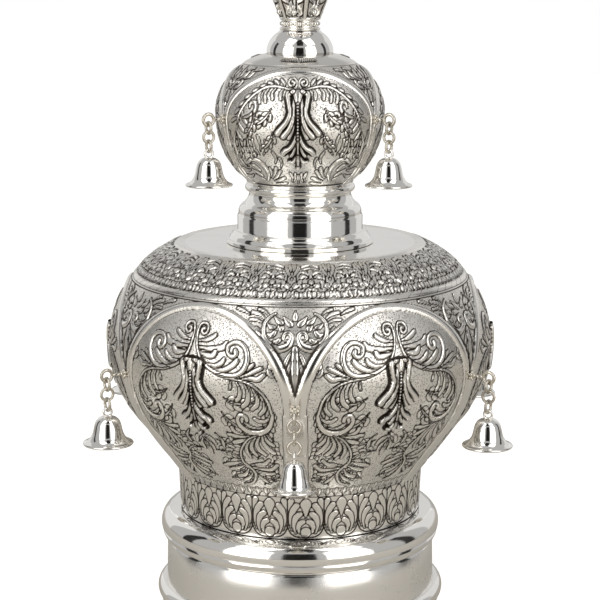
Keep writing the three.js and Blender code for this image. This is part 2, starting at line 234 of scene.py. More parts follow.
def addStage():
    deselectAll()
    bpy.ops.mesh.primitive_plane_add(size=floorSetup["size"] * mm)
    floor = bpy.context.object
    floor.name = "floor"
    paper = plainMaterial("floor_paper", floorSetup["color"])
    tree = paper.node_tree
    # paper that looks evenly white from the camera and still takes a soft shadow
    sight = tree.nodes.new("ShaderNodeLightPath")
    glow = mathNode(tree, "MULTIPLY", sight.outputs["Is Camera Ray"], floorSetup["glow"])
    tree.nodes["Principled BSDF"].inputs["Emission Color"].default_value = (1, 1, 1, 1)
    tree.links.new(glow, tree.nodes["Principled BSDF"].inputs["Emission Strength"])
    floor.data.materials.append(paper)
    for name, facts in cardSetup.items():
        bpy.ops.mesh.primitive_plane_add(size=1, location=standAt(facts))
        card = bpy.context.object
        card.name = "card_" + name
        aimAt(card, (0, 0, 170 if facts["height"] > 600 else facts["height"]))
        card.scale = (facts["width"] * mm, facts["tall"] * mm, 1)
        card.data.materials.append(plainMaterial("card_" + name, (facts["shade"],) * 3))
        card.visible_camera = False
        card.visible_diffuse = False
        card.visible_shadow = False
    world = bpy.data.worlds.new("studio")
    world.use_nodes = True
    tree = world.node_tree
    tree.nodes["Background"].inputs["Color"].default_value = (1, 1, 1, 1)
    sight = tree.nodes.new("ShaderNodeLightPath")
    room = lightSetup["room"]
    extra = mathNode(tree, "MULTIPLY", sight.outputs["Is Camera Ray"], lightSetup["backdrop"] - room)
    strength = mathNode(tree, "ADD", extra, room)
    tree.links.new(strength, tree.nodes["Background"].inputs["Strength"])
    bpy.context.scene.world = world
    bpy.context.scene.view_settings.view_transform = "Standard"


addCamera()
addStage()
addLights()

# ---- materials ----

print("crown: silver finishes")

silverTones = {
    "bright": (0.93, 0.915, 0.885, 1),
    "chased": (0.88, 0.855, 0.81, 1),
    "warm": (0.66, 0.62, 0.545, 1),
    # dark silver: oxide in the hollows, and also painted shade (the shadows round the cast leaves and the
    # dark reflections along chased edges)
    "oxideAndShade": (0.035, 0.026, 0.019, 1),
}


def newGroup(name, inputs, outputs):
    group = bpy.data.node_groups.new(name, "ShaderNodeTree")
    for label, kind, value in inputs:
        socket = group.interface.new_socket(name=label, in_out="INPUT", socket_type=kind)
        if value is not None:
            socket.default_value = value
    for label, kind in outputs:
        group.interface.new_socket(name=label, in_out="OUTPUT", socket_type=kind)
    start = group.nodes.new("NodeGroupInput")
    end = group.nodes.new("NodeGroupOutput")
    return group, start, end


def rampNode(tree, value, low, high, start=0.0, end=1.0):
    node = tree.nodes.new("ShaderNodeMapRange")
    node.interpolation_type = "SMOOTHSTEP"
    tree.links.new(value, node.inputs["Value"])
    node.inputs["From Min"].default_value = low
    node.inputs["From Max"].default_value = high
    node.inputs["To Min"].default_value = start
    node.inputs["To Max"].default_value = end
    return node.outputs["Result"]


def noiseNode(tree, vector, scale, detail=2.0, roughness=0.5):
    node = tree.nodes.new("ShaderNodeTexNoise")
    node.inputs["Scale"].default_value = scale
    node.inputs["Detail"].default_value = detail
    node.inputs["Roughness"].default_value = roughness
    tree.links.new(vector, node.inputs["Vector"])
    return node.outputs["Fac"]


def handlingGroup():
    # soft cloudiness and fine polishing scratches that any worn silver has
    group, start, end = newGroup("handling_marks", [("Vector", "NodeSocketVector", None)],
                                 [("Cloud", "NodeSocketFloat"), ("Scratch", "NodeSocketFloat")])
    cloud = noiseNode(group, start.outputs["Vector"], 45, 4, 0.6)
    stretch = group.nodes.new("ShaderNodeMapping")
    stretch.inputs["Scale"].default_value = (260, 260, 2600)
    group.links.new(start.outputs["Vector"], stretch.inputs["Vector"])
    scratch = noiseNode(group, stretch.outputs["Vector"], 1, 3, 0.65)
    group.links.new(cloud, end.inputs["Cloud"])
    group.links.new(scratch, end.inputs["Scratch"])
    return group


def stippleGroup():
    # small punched dots, as a punch leaves them on the ground between the leaves
    group, start, end = newGroup("punched_ground",
                                 [("Vector", "NodeSocketVector", None),
                                  ("Spacing", "NodeSocketFloat", 900.0)],
                                 [("Dots", "NodeSocketFloat")])
    cells = group.nodes.new("ShaderNodeTexVoronoi")
    cells.feature = "F1"
    group.links.new(start.outputs["Vector"], cells.inputs["Vector"])
    group.links.new(start.outputs["Spacing"], cells.inputs["Scale"])
    cells.inputs["Randomness"].default_value = 0.85
    dots = rampNode(group, cells.outputs["Distance"], 0.2, 0.42, 1, 0)
    group.links.new(dots, end.inputs["Dots"])
    return group


handling = handlingGroup()
stipple = stippleGroup()


def silverMaterial(name, look):
    material = bpy.data.materials.new(name)
    material.use_nodes = True
    tree = material.node_tree
    shader = tree.nodes["Principled BSDF"]
    shader.inputs["Metallic"].default_value = 1.0
    place = tree.nodes.new("ShaderNodeTexCoord").outputs["Object"]
    marks = tree.nodes.new("ShaderNodeGroup")
    marks.node_tree = handling
    tree.links.new(place, marks.inputs["Vector"])
    cloud = marks.outputs["Cloud"]
    scratch = marks.outputs["Scratch"]

    rough = rampNode(tree, cloud, 0.3, 0.7, look["gloss"][0], look["gloss"][1])
    height = mathNode(tree, "MULTIPLY", scratch, look["scratch"])
    dark = rampNode(tree, cloud, 0.45, 0.75, 0, look["tarnish"])
    # the dark attribute paints oxide in the chased hollows together with painted shadow round the cast leaves
    # and painted reflection along the stroke edges
    if look["chased"]:
        lines = tree.nodes.new("ShaderNodeAttribute")
        lines.attribute_name = "dark"
        ground = tree.nodes.new("ShaderNodeAttribute")
        ground.attribute_name = "ground"
        punch = tree.nodes.new("ShaderNodeGroup")
        punch.node_tree = stipple
        tree.links.new(place, punch.inputs["Vector"])
        punch.inputs["Spacing"].default_value = look["spacing"]
        dots = mathNode(tree, "MULTIPLY", punch.outputs["Dots"], ground.outputs["Fac"])
        line = rampNode(tree, lines.outputs["Fac"], 0.22, 0.72, 0, 0.97)
        dark = mathNode(tree, "ADD", dark, line, clamp=True)
        dark = mathNode(tree, "MAXIMUM", dark, mathNode(tree, "MULTIPLY", dots, look["dots"]))
        rough = mathNode(tree, "ADD", rough, mathNode(tree, "MULTIPLY", ground.outputs["Fac"], look["matte"]))
        duller = mathNode(tree, "MULTIPLY", lines.outputs["Fac"], 0.3)
        rough = mathNode(tree, "ADD", rough, duller, clamp=True)
        height = mathNode(tree, "SUBTRACT", height, mathNode(tree, "MULTIPLY", dots, look["punch"]))
    # mix towards the dark colour: tarnish, oxide and painted shade
    tone = tree.nodes.new("ShaderNodeMix")
    tone.data_type = "RGBA"
    tone.inputs["A"].default_value = silverTones[look["tone"]]
    tone.inputs["B"].default_value = silverTones["oxideAndShade"]
    tree.links.new(dark, tone.inputs["Factor"])
    tree.links.new(tone.outputs["Result"], shader.inputs["Base Color"])
    tree.links.new(rough, shader.inputs["Roughness"])
    bump = tree.nodes.new("ShaderNodeBump")
    bump.inputs["Strength"].default_value = 1.0
    bump.inputs["Distance"].default_value = look["bump"]
    tree.links.new(height, bump.inputs["Height"])
    tree.links.new(bump.outputs["Normal"], shader.inputs["Normal"])
    return material


polishedLook = {"tone": "bright", "gloss": (0.05, 0.12), "scratch": 0.02, "tarnish": 0.05,
                "chased": False, "bump": 0.0004}
satinLook = {"tone": "bright", "gloss": (0.2, 0.3), "scratch": 0.05, "tarnish": 0.06,
             "chased": False, "bump": 0.0004}
chasedLook = {"tone": "chased", "gloss": (0.15, 0.24), "scratch": 0.03, "tarnish": 0.12, "chased": True,
              "spacing": 1050.0, "dots": 0.55, "matte": 0.1, "punch": 0.5, "bump": 0.0005}
castLook = {"tone": "chased", "gloss": (0.18, 0.3), "scratch": 0.06, "tarnish": 0.35, "chased": True,
            "spacing": 1400.0, "dots": 0.3, "matte": 0.1, "punch": 0.2, "bump": 0.0004}
wireLook = {"tone": "warm", "gloss": (0.14, 0.24), "scratch": 0.05, "tarnish": 0.3,
            "chased": False, "bump": 0.0003}

polishedSilver = silverMaterial("polished_silver", polishedLook)
satinSilver = silverMaterial("satin_silver", satinLook)
chasedSilver = silverMaterial("chased_silver", chasedLook)
castSilver = silverMaterial("cast_silver", castLook)
wireSilver = silverMaterial("wire_silver", wireLook)

# ---- profiles of the two bulbs ----

bodyForm = {
    "path": [(64.5, 53.6), (65.5, 76.0)] + arcPoints(39, 144.5, 62, -41, 0, 60)
    + arcPoints(45, 144.5, 56, 0, 70, 60)[1:] + [(30, 196.62)],
    "widest": 101.0, "panels": 6, "wall": 1.6,
}
bulbForm = {
    "path": [(27.3, 229.7)] + arcPoints(-0.6, 264, 44.5, -50, 0, 50)
    + arcPoints(12.4, 264, 31.5, 0, 79, 60)[1:] + [(9, 294.92)],
    "widest": 43.9, "panels": 3, "wall": 1.4,
}


def profileOf(form):
    # fine (s, r, z, normal) table up a profile, where s is the distance along it
    corners = np.array(form["path"])
    steps = np.r_[0, np.cumsum(np.hypot(*np.diff(corners, axis=0).T))]
    s = np.linspace(0, steps[-1], 1600)
    r = np.interp(s, steps, corners[:, 0])
    z = np.interp(s, steps, corners[:, 1])
    along = np.gradient(np.c_[r, z], s, axis=0)
    kernel = np.ones(13) / 13
    padded = np.pad(along, ((6, 6), (0, 0)), mode="edge")
    along = np.c_[np.convolve(padded[:, 0], kernel, "valid"), np.convolve(padded[:, 1], kernel, "valid")]
    along /= np.hypot(*along.T)[:, None]
    return {"s": s, "r": r, "z": z, "out": np.c_[along[:, 1], -along[:, 0]], "length": s[-1],
            "widest": form["widest"]}


bodyProfile = profileOf(bodyForm)
bulbProfile = profileOf(bulbForm)


def onProfile(profile, u, s, rise):
    # u is the distance round the widest ring from the front, and rise stands off the plain surface
    r = np.interp(s, profile["s"], profile["r"])
    z = np.interp(s, profile["s"], profile["z"])
    outR = np.interp(s, profile["s"], profile["out"][:, 0])
    outZ = np.interp(s, profile["s"], profile["out"][:, 1])
    angle = u / profile["widest"]
    radius = r + rise * outR
    return np.stack([radius * np.sin(angle), -radius * np.cos(angle), z + rise * outZ], -1) * mm


def radiusAt(profile, s):
    return np.interp(s, profile["s"], profile["r"])


# ---- chasing: raised strokes with a dark line round them, drawn on a sheet of points ----

def newSheet(u, s):
    columns, rows = np.meshgrid(u, s)
    blank = np.zeros_like(columns)
    return {"u": columns, "s": rows, "x": columns.copy(), "y": rows.copy(), "rise": blank.copy(),
            "dark": blank.copy(), "ground": blank.copy()}


def smoothPath(points, steps=6):
    # a curve through the points (Catmull-Rom)
    knots = np.array(points, float)
    if len(knots) < 3:
        knots = np.array([knots[0], (knots[0] + knots[-1]) / 2, knots[-1]])
    ends = np.vstack([2 * knots[0] - knots[1], knots, 2 * knots[-1] - knots[-2]])
    out = []
    for n in range(len(knots) - 1):
        a, b, c, d = ends[n:n + 4]
        for t in np.arange(steps) / steps:
            out.append(0.5 * (2 * b + (c - a) * t + (2 * a - 5 * b + 4 * c - d) * t * t
                              + (3 * b - a - 3 * c + d) * t ** 3))
    out.append(knots[-1])
    return np.array(out)


def addStroke(sheet, points, widths, rise=0.5, edge=0.75, crease=0.0, cut=0.22):
    path = smoothPath(points)
    widths = np.interp(np.linspace(0, 1, len(path)), np.linspace(0, 1, len(widths)), widths)
    reach = widths.max() + 1.3
    low = path.min(0) - reach
    high = path.max(0) + reach
    near = (sheet["x"] > low[0]) & (sheet["x"] < high[0]) & (sheet["y"] > low[1]) & (sheet["y"] < high[1])
    if not near.any():
        return
    spots = np.stack([sheet["x"][near], sheet["y"][near]], -1)
    start = path[:-1]
    run = np.diff(path, axis=0)
    length = np.maximum((run ** 2).sum(1), 1e-9)
    share = np.clip(((spots[:, None] - start) * run).sum(2) / length, 0, 1)
    away = np.hypot(*np.moveaxis(spots[:, None] - (start + share[..., None] * run), 2, 0))
    wide = widths[:-1] + share * np.diff(widths)
    best = np.argmin(away - wide, axis=1)
    pick = np.arange(len(spots)), best
    away, wide = away[pick], np.maximum(wide[pick], 0.05)
    off = away - wide
    inside = off < 0
    dome = rise * np.sqrt(np.clip(1 - (away / wide) ** 2, 0, 1))
    dome -= crease * np.exp(-(away / 0.4) ** 2) * (wide > 0.6)
    groove = cut * np.clip(1 - off / 0.55, 0, 1)
    # the dark line round each stroke is oxide in the groove and also painted reflection and shade along the
    # stroke's edge
    line = edge * np.clip(1.15 - np.abs(off - 0.15) / 0.5, 0, 1)
    old = sheet["rise"][near]
    sheet["rise"][near] = np.where(inside, np.maximum(dome, 0.3 * old), old - groove)
    sheet["dark"][near] = np.where(inside, line, np.maximum(sheet["dark"][near], line))
    middle = 0.5 * edge * (crease > 0) * np.exp(-(away / 0.3) ** 2) * (wide > 0.6)
    sheet["dark"][near] += np.where(inside, middle, 0)
    sheet["ground"][near] = np.where(off < 0.2, 0, sheet["ground"][near])


def addLeaf(sheet, points, width, **more):
    # one finger of an acanthus: thin at its root, widest near its round tip
    addStroke(sheet, points, [0.35 * width, 0.6 * width, 0.9 * width, width, 0.85 * width], **more)


def addSprig(sheet, root, turn, length, bend, pairs, size, **more):
    # a bent stem with leaves on both sides; the turn is measured from straight outwards
    steps = 3 * pairs
    at = np.array(root, float)
    path = [tuple(at)]
    leaves = []
    for n in range(steps):
        a = math.radians(turn + bend * n / steps)
        at = at + length / steps * np.array((math.cos(a), math.sin(a)))
        path.append(tuple(at))
        if n % 3 == 1:
            reach = size * (1.05 - 0.5 * n / steps)
            for side in (-1, 1):
                points = [tuple(at)]
                for far, lean in ((0.5, 62), (1.0, 36)):
                    b = a + side * math.radians(lean)
                    points.append((at[0] + far * reach * math.cos(b), at[1] + far * reach * math.sin(b)))
                leaves.append(points)
    for points in leaves:
        addLeaf(sheet, points, 0.24 * size, **more)
    addLeaf(sheet, path, 0.5, **more)


def addFlower(sheet, x, y, reach, petals, width, turn=0.0, **more):
    for n in range(petals):
        a = math.radians(turn) + 2 * math.pi * n / petals
        tip = (x + reach * math.sin(a), y + reach * math.cos(a))
        root = (x + 0.4 * reach * math.sin(a), y + 0.4 * reach * math.cos(a))
        addStroke(sheet, [root, tip], [0.7 * width, width], **more)
    addStroke(sheet, [(x, y - 0.05), (x, y + 0.05)], [0.6 * width, 0.6 * width], **more)


def addLine(sheet, points, width=0.3, dark=0.75, cut=0.2):
    # an engraved line with nothing raised
    path = smoothPath(points)
    reach = width + 0.9
    low = path.min(0) - reach
    high = path.max(0) + reach
    near = (sheet["x"] > low[0]) & (sheet["x"] < high[0]) & (sheet["y"] > low[1]) & (sheet["y"] < high[1])
    if not near.any():
        return
    spots = np.stack([sheet["x"][near], sheet["y"][near]], -1)
    start = path[:-1]
    run = np.diff(path, axis=0)
    length = np.maximum((run ** 2).sum(1), 1e-9)
    share = np.clip(((spots[:, None] - start) * run).sum(2) / length, 0, 1)
    away = np.hypot(*np.moveaxis(spots[:, None] - (start + share[..., None] * run), 2, 0)).min(1)
    line = np.clip(1 - (away - width) / 0.5, 0, 1) * (away < width + 0.5)
    sheet["dark"][near] = np.maximum(sheet["dark"][near], dark * line)
    sheet["rise"][near] -= cut * line


def sheetPiece(name, sheet, profile):
    rows, columns = sheet["u"].shape
    deselectAll()
    bpy.ops.mesh.primitive_grid_add(x_subdivisions=columns - 1, y_subdivisions=rows - 1, size=1)
    piece = bpy.context.object
    piece.name = name
    points = onProfile(profile, sheet["u"], sheet["s"], sheet["rise"])
    setPoints(piece, points.reshape(-1, 3))
    for key in ("dark", "ground"):
        layer = piece.data.attributes.new(key, "FLOAT", "POINT")
        layer.data.foreach_set("value", np.clip(sheet[key], 0, 1).astype(np.float32).ravel())
    makeActive(piece)
    bpy.ops.object.shade_smooth()
    return piece


# ---- cast leaves: their shape, and the painted shadow round each one on the silver under it ----

leafSetup = {"length": 40, "columns": 52, "rows": 88, "lowerS": 90, "upperS": 35, "depth": 2.5}
# (distance from the leaf's middle line, height from its middle), widths
leafStrokes = [
    ([(0.5, 9), (1.9, 5), (2.6, 0.6), (4.4, -3.2)], [0.6, 0.8, 0.9, 1.1]),
    ([(1.6, 16), (2.2, 11), (2.6, 6), (4.2, 1.4), (7.2, -2.6)], [0.8, 0.9, 1.0, 1.2, 1.5]),
    ([(2.4, 18.6), (4.9, 18.2), (4.4, 13.2), (3.9, 9), (5.4, 4.8), (8.4, 1.2), (10.0, -1)],
     [1.2, 1.4, 1.1, 1.0, 1.2, 1.4, 1.7]),
    ([(0.5, -4), (1.4, -7.6), (2.2, -10.6), (3.4, -12.4)], [0.5, 0.7, 0.9, 1.0]),
    ([(0.6, -1), (2.0, -5.4), (4.0, -8.6), (6.2, -10), (7.4, -11.4)], [0.6, 0.9, 1.1, 1.4, 1.4]),
    ([(0.4, -10.6), (1.2, -14), (3.0, -16.4), (4.2, -15.8)], [0.5, 0.9, 1.0, 0.9]),
    ([(0, -12), (0, -16), (0, -18.6)], [0.7, 0.9, 0.6]),
    ([(0, -19.4), (0, -19.6)], [1.1, 1.1]),
    ([(0, 19.4), (0, 16.4), (0, 12.6), (0, 4), (0, -11)], [2.9, 1.9, 1.0, 0.8, 0.5]),
    ([(2.2, 19.6), (2.7, 19.2)], [1.1, 1.1]),
]
leafBeads = [(0, 13.4 - 1.55 * n) for n in range(12)]


def paintedShadowRoundLeaf(sheet, centreS, narrow):
    # painted shadow: a dark band, with nothing cut, just outside where the cast leaf lies
    for points, widths in leafStrokes:
        path = [(x * narrow, centreS + y) for x, y in points]
        addLine(sheet, path, width=min(max(widths), 1.5) + 0.6, dark=0.9, cut=0.0)


# ---- the body's six panels ----

print("crown: chased panels of the body")

panelSetup = {
    "columns": 184, "rows": 192, "footS": 22.4, "topS": 139.0, "springS": 84.0,
    "outer": (53.15, 54.0), "inner": (47.4, 50.2), "rib": 1.1, "strip": 6.0,
}

# (distance from the panel's middle, distance up the profile), then the widths along the stroke
panelScrolls = [
    ([(4.9, 125), (3.6, 124.9), (3.3, 123.4), (4.6, 122.4), (6.2, 123), (6.9, 124.8), (6.1, 127),
      (4.2, 127.9),
      (2.2, 127.2), (1.2, 124.5), (1.1, 121.2), (2, 115.8), (4.1, 111), (8.3, 106.8), (13.7, 104.1),
      (19.1, 103.2), (23.9, 103.8), (27.5, 106.5), (29.3, 111), (28.7, 115.8), (26.3, 118.8), (22.7, 119.7),
      (19.4, 117.9), (19.1, 114.6), (21.5, 112.5), (23.6, 114), (23, 115.5)],
     [0.8, 0.7, 0.7, 0.7, 0.6, 0.6, 0.7, 1.0, 1.3, 1.2, 1.0, 1.0, 1.2]),
    ([(14, 103.4), (19.1, 102), (25.1, 101.4), (31.1, 99.6), (35.9, 96), (39.5, 91.2), (41.2, 85.2),
      (41.6, 83),
      (40.1, 77.6), (37.1, 74.3), (32.9, 72.8), (28.1, 73.7), (24.8, 76.4), (23.3, 80), (24.9, 83.2),
      (27.6, 82.6), (28.2, 80.4)],
     [0.4, 0.5, 0.6, 0.6, 0.7, 1.2, 1.6, 1.4, 1.0, 0.9, 1.1]),
    ([(32.9, 71.6), (27.5, 68.6), (23.3, 63.2), (20.6, 57.8), (19.7, 52.4), (20.6, 48.8), (24.5, 44.6),
      (25.7, 40.4), (23.9, 35.6), (20.3, 32.6), (14.3, 31.4)],
     [0.4, 0.6, 0.7, 0.7, 0.8, 1.1, 0.9, 0.5]),
]
panelFingers = [
    ([(2.3, 118.8), (5.9, 119.4), (8.9, 120.6), (11.6, 122.4)], 1.3),
    ([(2.9, 115.8), (7.7, 115.5), (13.1, 115.8), (16.7, 117), (17.9, 118.6)], 1.7),
    ([(3.5, 113.4), (7.1, 112.2), (10.7, 112.2), (12.5, 114)], 1.5),
    ([(7.1, 108.4), (11.9, 107.4), (15.6, 108.8), (17.4, 110.9)], 1.3),
    ([(11.5, 105.8), (16.7, 105.6), (21.5, 108), (24.2, 110.7)], 1.5),
    ([(24.6, 103.2), (28.1, 105.6), (31.1, 108.3), (32.6, 109.4)], 1.0),
    ([(25.1, 102.6), (29.9, 104.4), (34.1, 106.6), (36.6, 107.8)], 1.1),
    ([(26.3, 102), (31.1, 102.6), (34.7, 102.2), (37.6, 104.4)], 1.3),
    ([(20.9, 101), (21.2, 99), (20.6, 96.6)], 0.8),
    ([(23.9, 100.5), (25.7, 97.2), (25.4, 93), (23.9, 91)], 1.1),
    ([(28.1, 99.6), (29.9, 95.4), (29.3, 90.6), (26.9, 88)], 1.25),
    ([(31.7, 98.1), (34.1, 93.6), (34.1, 89.4), (31.6, 86.8)], 1.2),
    ([(35.3, 95.4), (37.7, 90.6), (37.7, 87), (35.3, 84)], 1.05),
    ([(38.3, 91.8), (39.9, 87), (38.6, 83.4)], 0.8),
    ([(40.7, 84.8), (38.9, 81.2), (35.3, 80), (32.4, 81.6)], 1.1),
    ([(36.6, 76.8), (33, 75.9), (29.4, 77), (27.2, 79.2)], 0.9),
    ([(37.7, 73.1), (38.9, 70.4), (40.3, 67.6)], 0.8),
    ([(36.5, 71.9), (37.7, 68), (40.9, 64.6)], 1.2),
    ([(35.3, 71.6), (35.4, 66.8), (37.7, 62), (40.7, 58.6)], 1.5),
    ([(34.1, 71.3), (31.7, 65.6), (32.3, 60.8), (35.3, 57)], 1.5),
    ([(32.3, 71), (28.7, 65), (28.1, 60.2), (29.9, 56)], 1.3),
    ([(29.9, 69.8), (25.7, 63.8), (24.5, 58.4), (25.7, 54)], 1.15),
    ([(29.3, 71.6), (25.1, 71), (20.6, 72.8), (19.4, 75.4)], 1.1),
    ([(28.7, 70.7), (22.7, 69.8), (16.6, 70.6)], 1.2),
    ([(26.3, 68.6), (22.7, 66.8), (18.6, 65.2)], 1.4),
    ([(19.1, 51.5), (15.5, 51.2), (12.2, 49.6)], 1.2),
    ([(19.7, 50), (13.1, 47.9), (5.6, 45.4)], 1.4),
    ([(20.6, 47.6), (14.6, 44.4), (8.6, 42.4)], 1.3),
    ([(22, 44.4), (17.9, 39.4), (12.8, 37.8)], 1.4),
    ([(24, 41.6), (20.9, 37.6), (15.8, 34.6)], 1.2),
    ([(24.5, 47.8), (29.3, 49), (33.8, 49.6), (36.8, 52.6)], 1.3),
    ([(25.1, 46), (31.1, 45.2), (37.4, 45.2), (41.2, 48.8)], 1.4),
    ([(25.7, 44.2), (29.9, 42.4), (34.7, 41.4), (38.6, 41.8)], 1.2),
    ([(26.3, 41.8), (28.7, 38), (32.6, 34.6)], 1.2),
    ([(0.8, 68.5), (4.4, 66.4), (6.2, 62.6)], 1.2),
    ([(0.6, 66), (3.2, 61.6), (3.4, 57.4)], 1.1),
    ([(0.4, 64), (0.6, 58), (0.2, 54)], 1.0),
    ([(8.4, 70), (11.6, 66), (11.2, 61.6)], 1.0),
]
spandrelScroll = (
    [(3.7, 123), (4.1, 121.8), (5.7, 122.3), (5.5, 124.4), (3.5, 125.2), (1.7, 123.8), (2.2, 121.2),
     (4, 118.6), (8.2, 117.3), (12.4, 119.1), (15.1, 122.1), (16.3, 125.7), (16, 129.6), (13.9, 132.6),
     (10.6, 134.9)],
    [0.9, 0.8, 0.8, 0.9, 1.1, 1.5, 1.7, 1.4, 1.1, 1.0, 0.8, 0.6],
)
# (distance from the spandrel's middle, distance up the profile), width
spandrelFingers = [
    ([(14.6, 130), (12.8, 128.2), (11, 127.8)], 1.1),
    ([(14, 124.6), (12, 123.8), (10.4, 125.4)], 1.2),
    ([(11, 133.6), (9, 131.2), (7, 130.2)], 1.3),
    ([(8.8, 128.6), (7.4, 127), (6.6, 127.6)], 1.2),
    ([(6, 133), (4, 130.7), (2.2, 129.4)], 1.5),
    ([(10.9, 121.2), (9.2, 120.8), (7.8, 121.8)], 1.1),
    ([(0, 136), (0, 132.2)], 1.4),
    ([(1.2, 117), (3.8, 112.6), (5.7, 107.4)], 1.0),
    ([(1, 113.4), (3, 108), (4, 102.6)], 0.9),
    ([(0.8, 109), (1.9, 103.4), (2.3, 98.4)], 0.75),
    ([(15.5, 131.6), (19, 134.3), (23.4, 135.4)], 1.0),
    ([(16, 129.4), (19.8, 131.2), (23.8, 131.6)], 0.9),
    ([(14, 133.8), (16.6, 136), (20, 137)], 0.8),
    ([(24.5, 134), (28, 135.8), (32, 136.9)], 0.9),
    ([(16.4, 126.4), (18.4, 126.2), (20.2, 127.6)], 0.8),
]


# the small sprigs between the scrolls: root, turn and bend in degrees, length, pairs of leaves, leaf size
panelSprigs = [
    ((17, 92), -35, 15, 60, 4, 5.0), ((15, 84), -60, 16, 50, 4, 4.8), ((38, 88), -70, 16, -40, 4, 4.8),
    ((8, 66), -25, 15, 50, 4, 4.8), ((5, 57), 10, 15, -60, 4, 4.8), ((16, 72), -50, 13, 60, 4, 4.4),
    ((41, 70), -100, 15, 30, 4, 4.6), ((24, 62), -60, 12, 40, 3, 4.4), ((4, 46), 25, 15, -50, 4, 4.6),
    ((40, 52), -110, 15, 40, 4, 4.6), ((6, 35), 30, 15, -50, 4, 4.6), ((30, 32), 60, 13, -60, 4, 4.2),
    ((14, 44), -30, 13, 60, 4, 4.4), ((38, 36), 120, 12, -50, 3, 4.2), ((44, 102), 110, 13, -50, 4, 4.4),
]


def panelSheet(profile, facts):
    half = math.pi * profile["widest"] / bodyForm["panels"]
    sheet = newSheet(np.linspace(-half, half, facts["columns"] + 1),
                     np.linspace(facts["footS"], facts["topS"], facts["rows"] + 1))
    x = np.abs(sheet["u"])
    s = sheet["s"]
    spring = facts["springS"]
    up = np.maximum(s - spring, 0)
    reachIn = np.hypot(x / facts["inner"][0], up / facts["inner"][1])
    reachOut = np.hypot(x / facts["outer"][0], up / facts["outer"][1])
    legIn = half - facts["strip"] * radiusAt(profile, spring) / radiusAt(profile, s)
    offIn = np.where(s > spring, (reachIn - 1) * facts["inner"][0], (x - legIn) * radiusAt(profile, s) / 101)
    offOut = np.where(s > spring, (reachOut - 1) * facts["outer"][0], x - half)
    inPanel = offIn < 0
    inSpandrel = (offOut > 0) & (s > spring)

    # the panel's field
    sheet["x"] = x
    sheet["y"] = s
    sheet["ground"][:] = 1.0
    for root, turn, length, bend, pairs, size in panelSprigs:
        addSprig(sheet, root, turn, length, bend, pairs, size, rise=0.42, edge=0.9, crease=0.12)
    for points, width in panelFingers:
        addLeaf(sheet, points, width, rise=0.6, edge=1.0, crease=0.14, cut=0.3)
    for points, widths in panelScrolls:
        addStroke(sheet, points, widths, rise=0.75, edge=1.0, cut=0.3)
    for n in range(7):
        middle = 3.2 + 6.6 * n
        for lean in (-2.4, 2.4, 0):
            points = [(middle, 23.5), (middle + 0.4 * lean, 26), (middle + lean, 28.6 - 0.4 * abs(lean))]
            addLeaf(sheet, points, 1.35, rise=0.45, crease=0.1)
    # painted shadow round the lower cast leaf
    paintedShadowRoundLeaf(sheet, leafSetup["lowerS"], 1.08)
    field = {key: sheet[key].copy() for key in ("rise", "dark", "ground")}

    # the spandrel between two arches
    for key in ("rise", "dark"):
        sheet[key][:] = 0
    sheet["ground"][:] = 1.0
    sheet["dark"] += 0.22
    sheet["x"] = half - x
    for points, width in spandrelFingers:
        addLeaf(sheet, points, width, rise=0.8, edge=0.95, crease=0.15, cut=0.35)
    addStroke(sheet, [(0, 117.5), (0, 108), (0, 99), (0, 95)], [1.3, 1.9, 1.2, 0.4],
              rise=0.8, edge=0.95, crease=0.2)
    addStroke(sheet, spandrelScroll[0], spandrelScroll[1], rise=1.0, edge=0.95, cut=0.35)
    sheet["dark"] = np.maximum(sheet["dark"], 0.75 * smoothStep(3.0, 0.5, offOut) * inSpandrel * (s < 120))

    # the ribs and the plain strip under their meeting
    across = np.clip(offIn / np.maximum(offIn - offOut, 0.01), 0, 1)
    ribShape = facts["rib"] * np.sqrt(np.sin(np.pi * np.clip(across, 0, 1)))
    strip = facts["rib"] * np.sqrt(np.sin(np.pi / 2 * np.clip(offIn / 1.6, 0, 1)))
    wedge = facts["rib"] * smoothStep(96, 84, s)
    onRib = (offIn >= 0) & ~inSpandrel
    rib = np.where(s > spring, np.maximum(ribShape, np.where(across > 0.5, wedge, 0)), strip)
    inside = inPanel.astype(float)
    aboveRise = np.maximum(sheet["rise"] - 0.15, wedge)
    aboveDark = sheet["dark"] * smoothStep(88, 97, s)
    sheet["rise"] = np.where(inPanel, field["rise"], np.where(onRib, rib, aboveRise))
    sheet["dark"] = np.where(inPanel, field["dark"], np.where(onRib, 0, aboveDark))
    sheet["ground"] = np.where(inPanel, field["ground"], np.where(onRib, 0, sheet["ground"] * (s > 96)))
    line = np.clip(1 - np.abs(offIn + 0.25) / 0.55, 0, 1) * 0.8
    outLine = np.clip(1 - np.abs(offOut - 0.25) / 0.55, 0, 1) * 0.8 * (s > 97)
    sheet["dark"] = np.maximum(sheet["dark"], np.maximum(line, outLine))
    topLine = np.clip(1 - np.abs(s - 138.4) / 0.5, 0, 1)
    sheet["dark"] = np.maximum(sheet["dark"], 0.8 * topLine * (offOut > -0.3))
    footLine = np.clip(1 - np.abs(s - facts["footS"]) / 0.7, 0, 1)
    sheet["dark"] = np.maximum(sheet["dark"], 0.7 * footLine * inside)
    return sheet


bodyPanel = sheetPiece("body_panel_1", panelSheet(bodyProfile, panelSetup), bodyProfile)
bodyPanel.data.transform(Matrix.Rotation(math.pi / 6, 4, "Z"))
dress(bodyPanel, ["body"], chasedSilver)
for n in range(1, bodyForm["panels"]):
    panel = copyTurned(bodyPanel, "body_panel_%d" % (n + 1), n * math.pi / 3)
    dress(panel, ["body"], chasedSilver)


# ---- the palmette band at the body's foot ----

print("crown: palmette band and shoulder")

bandSetup = {"count": 22, "turn": 4.0, "columnsEach": 36, "rows": 44, "radius": 65.0}


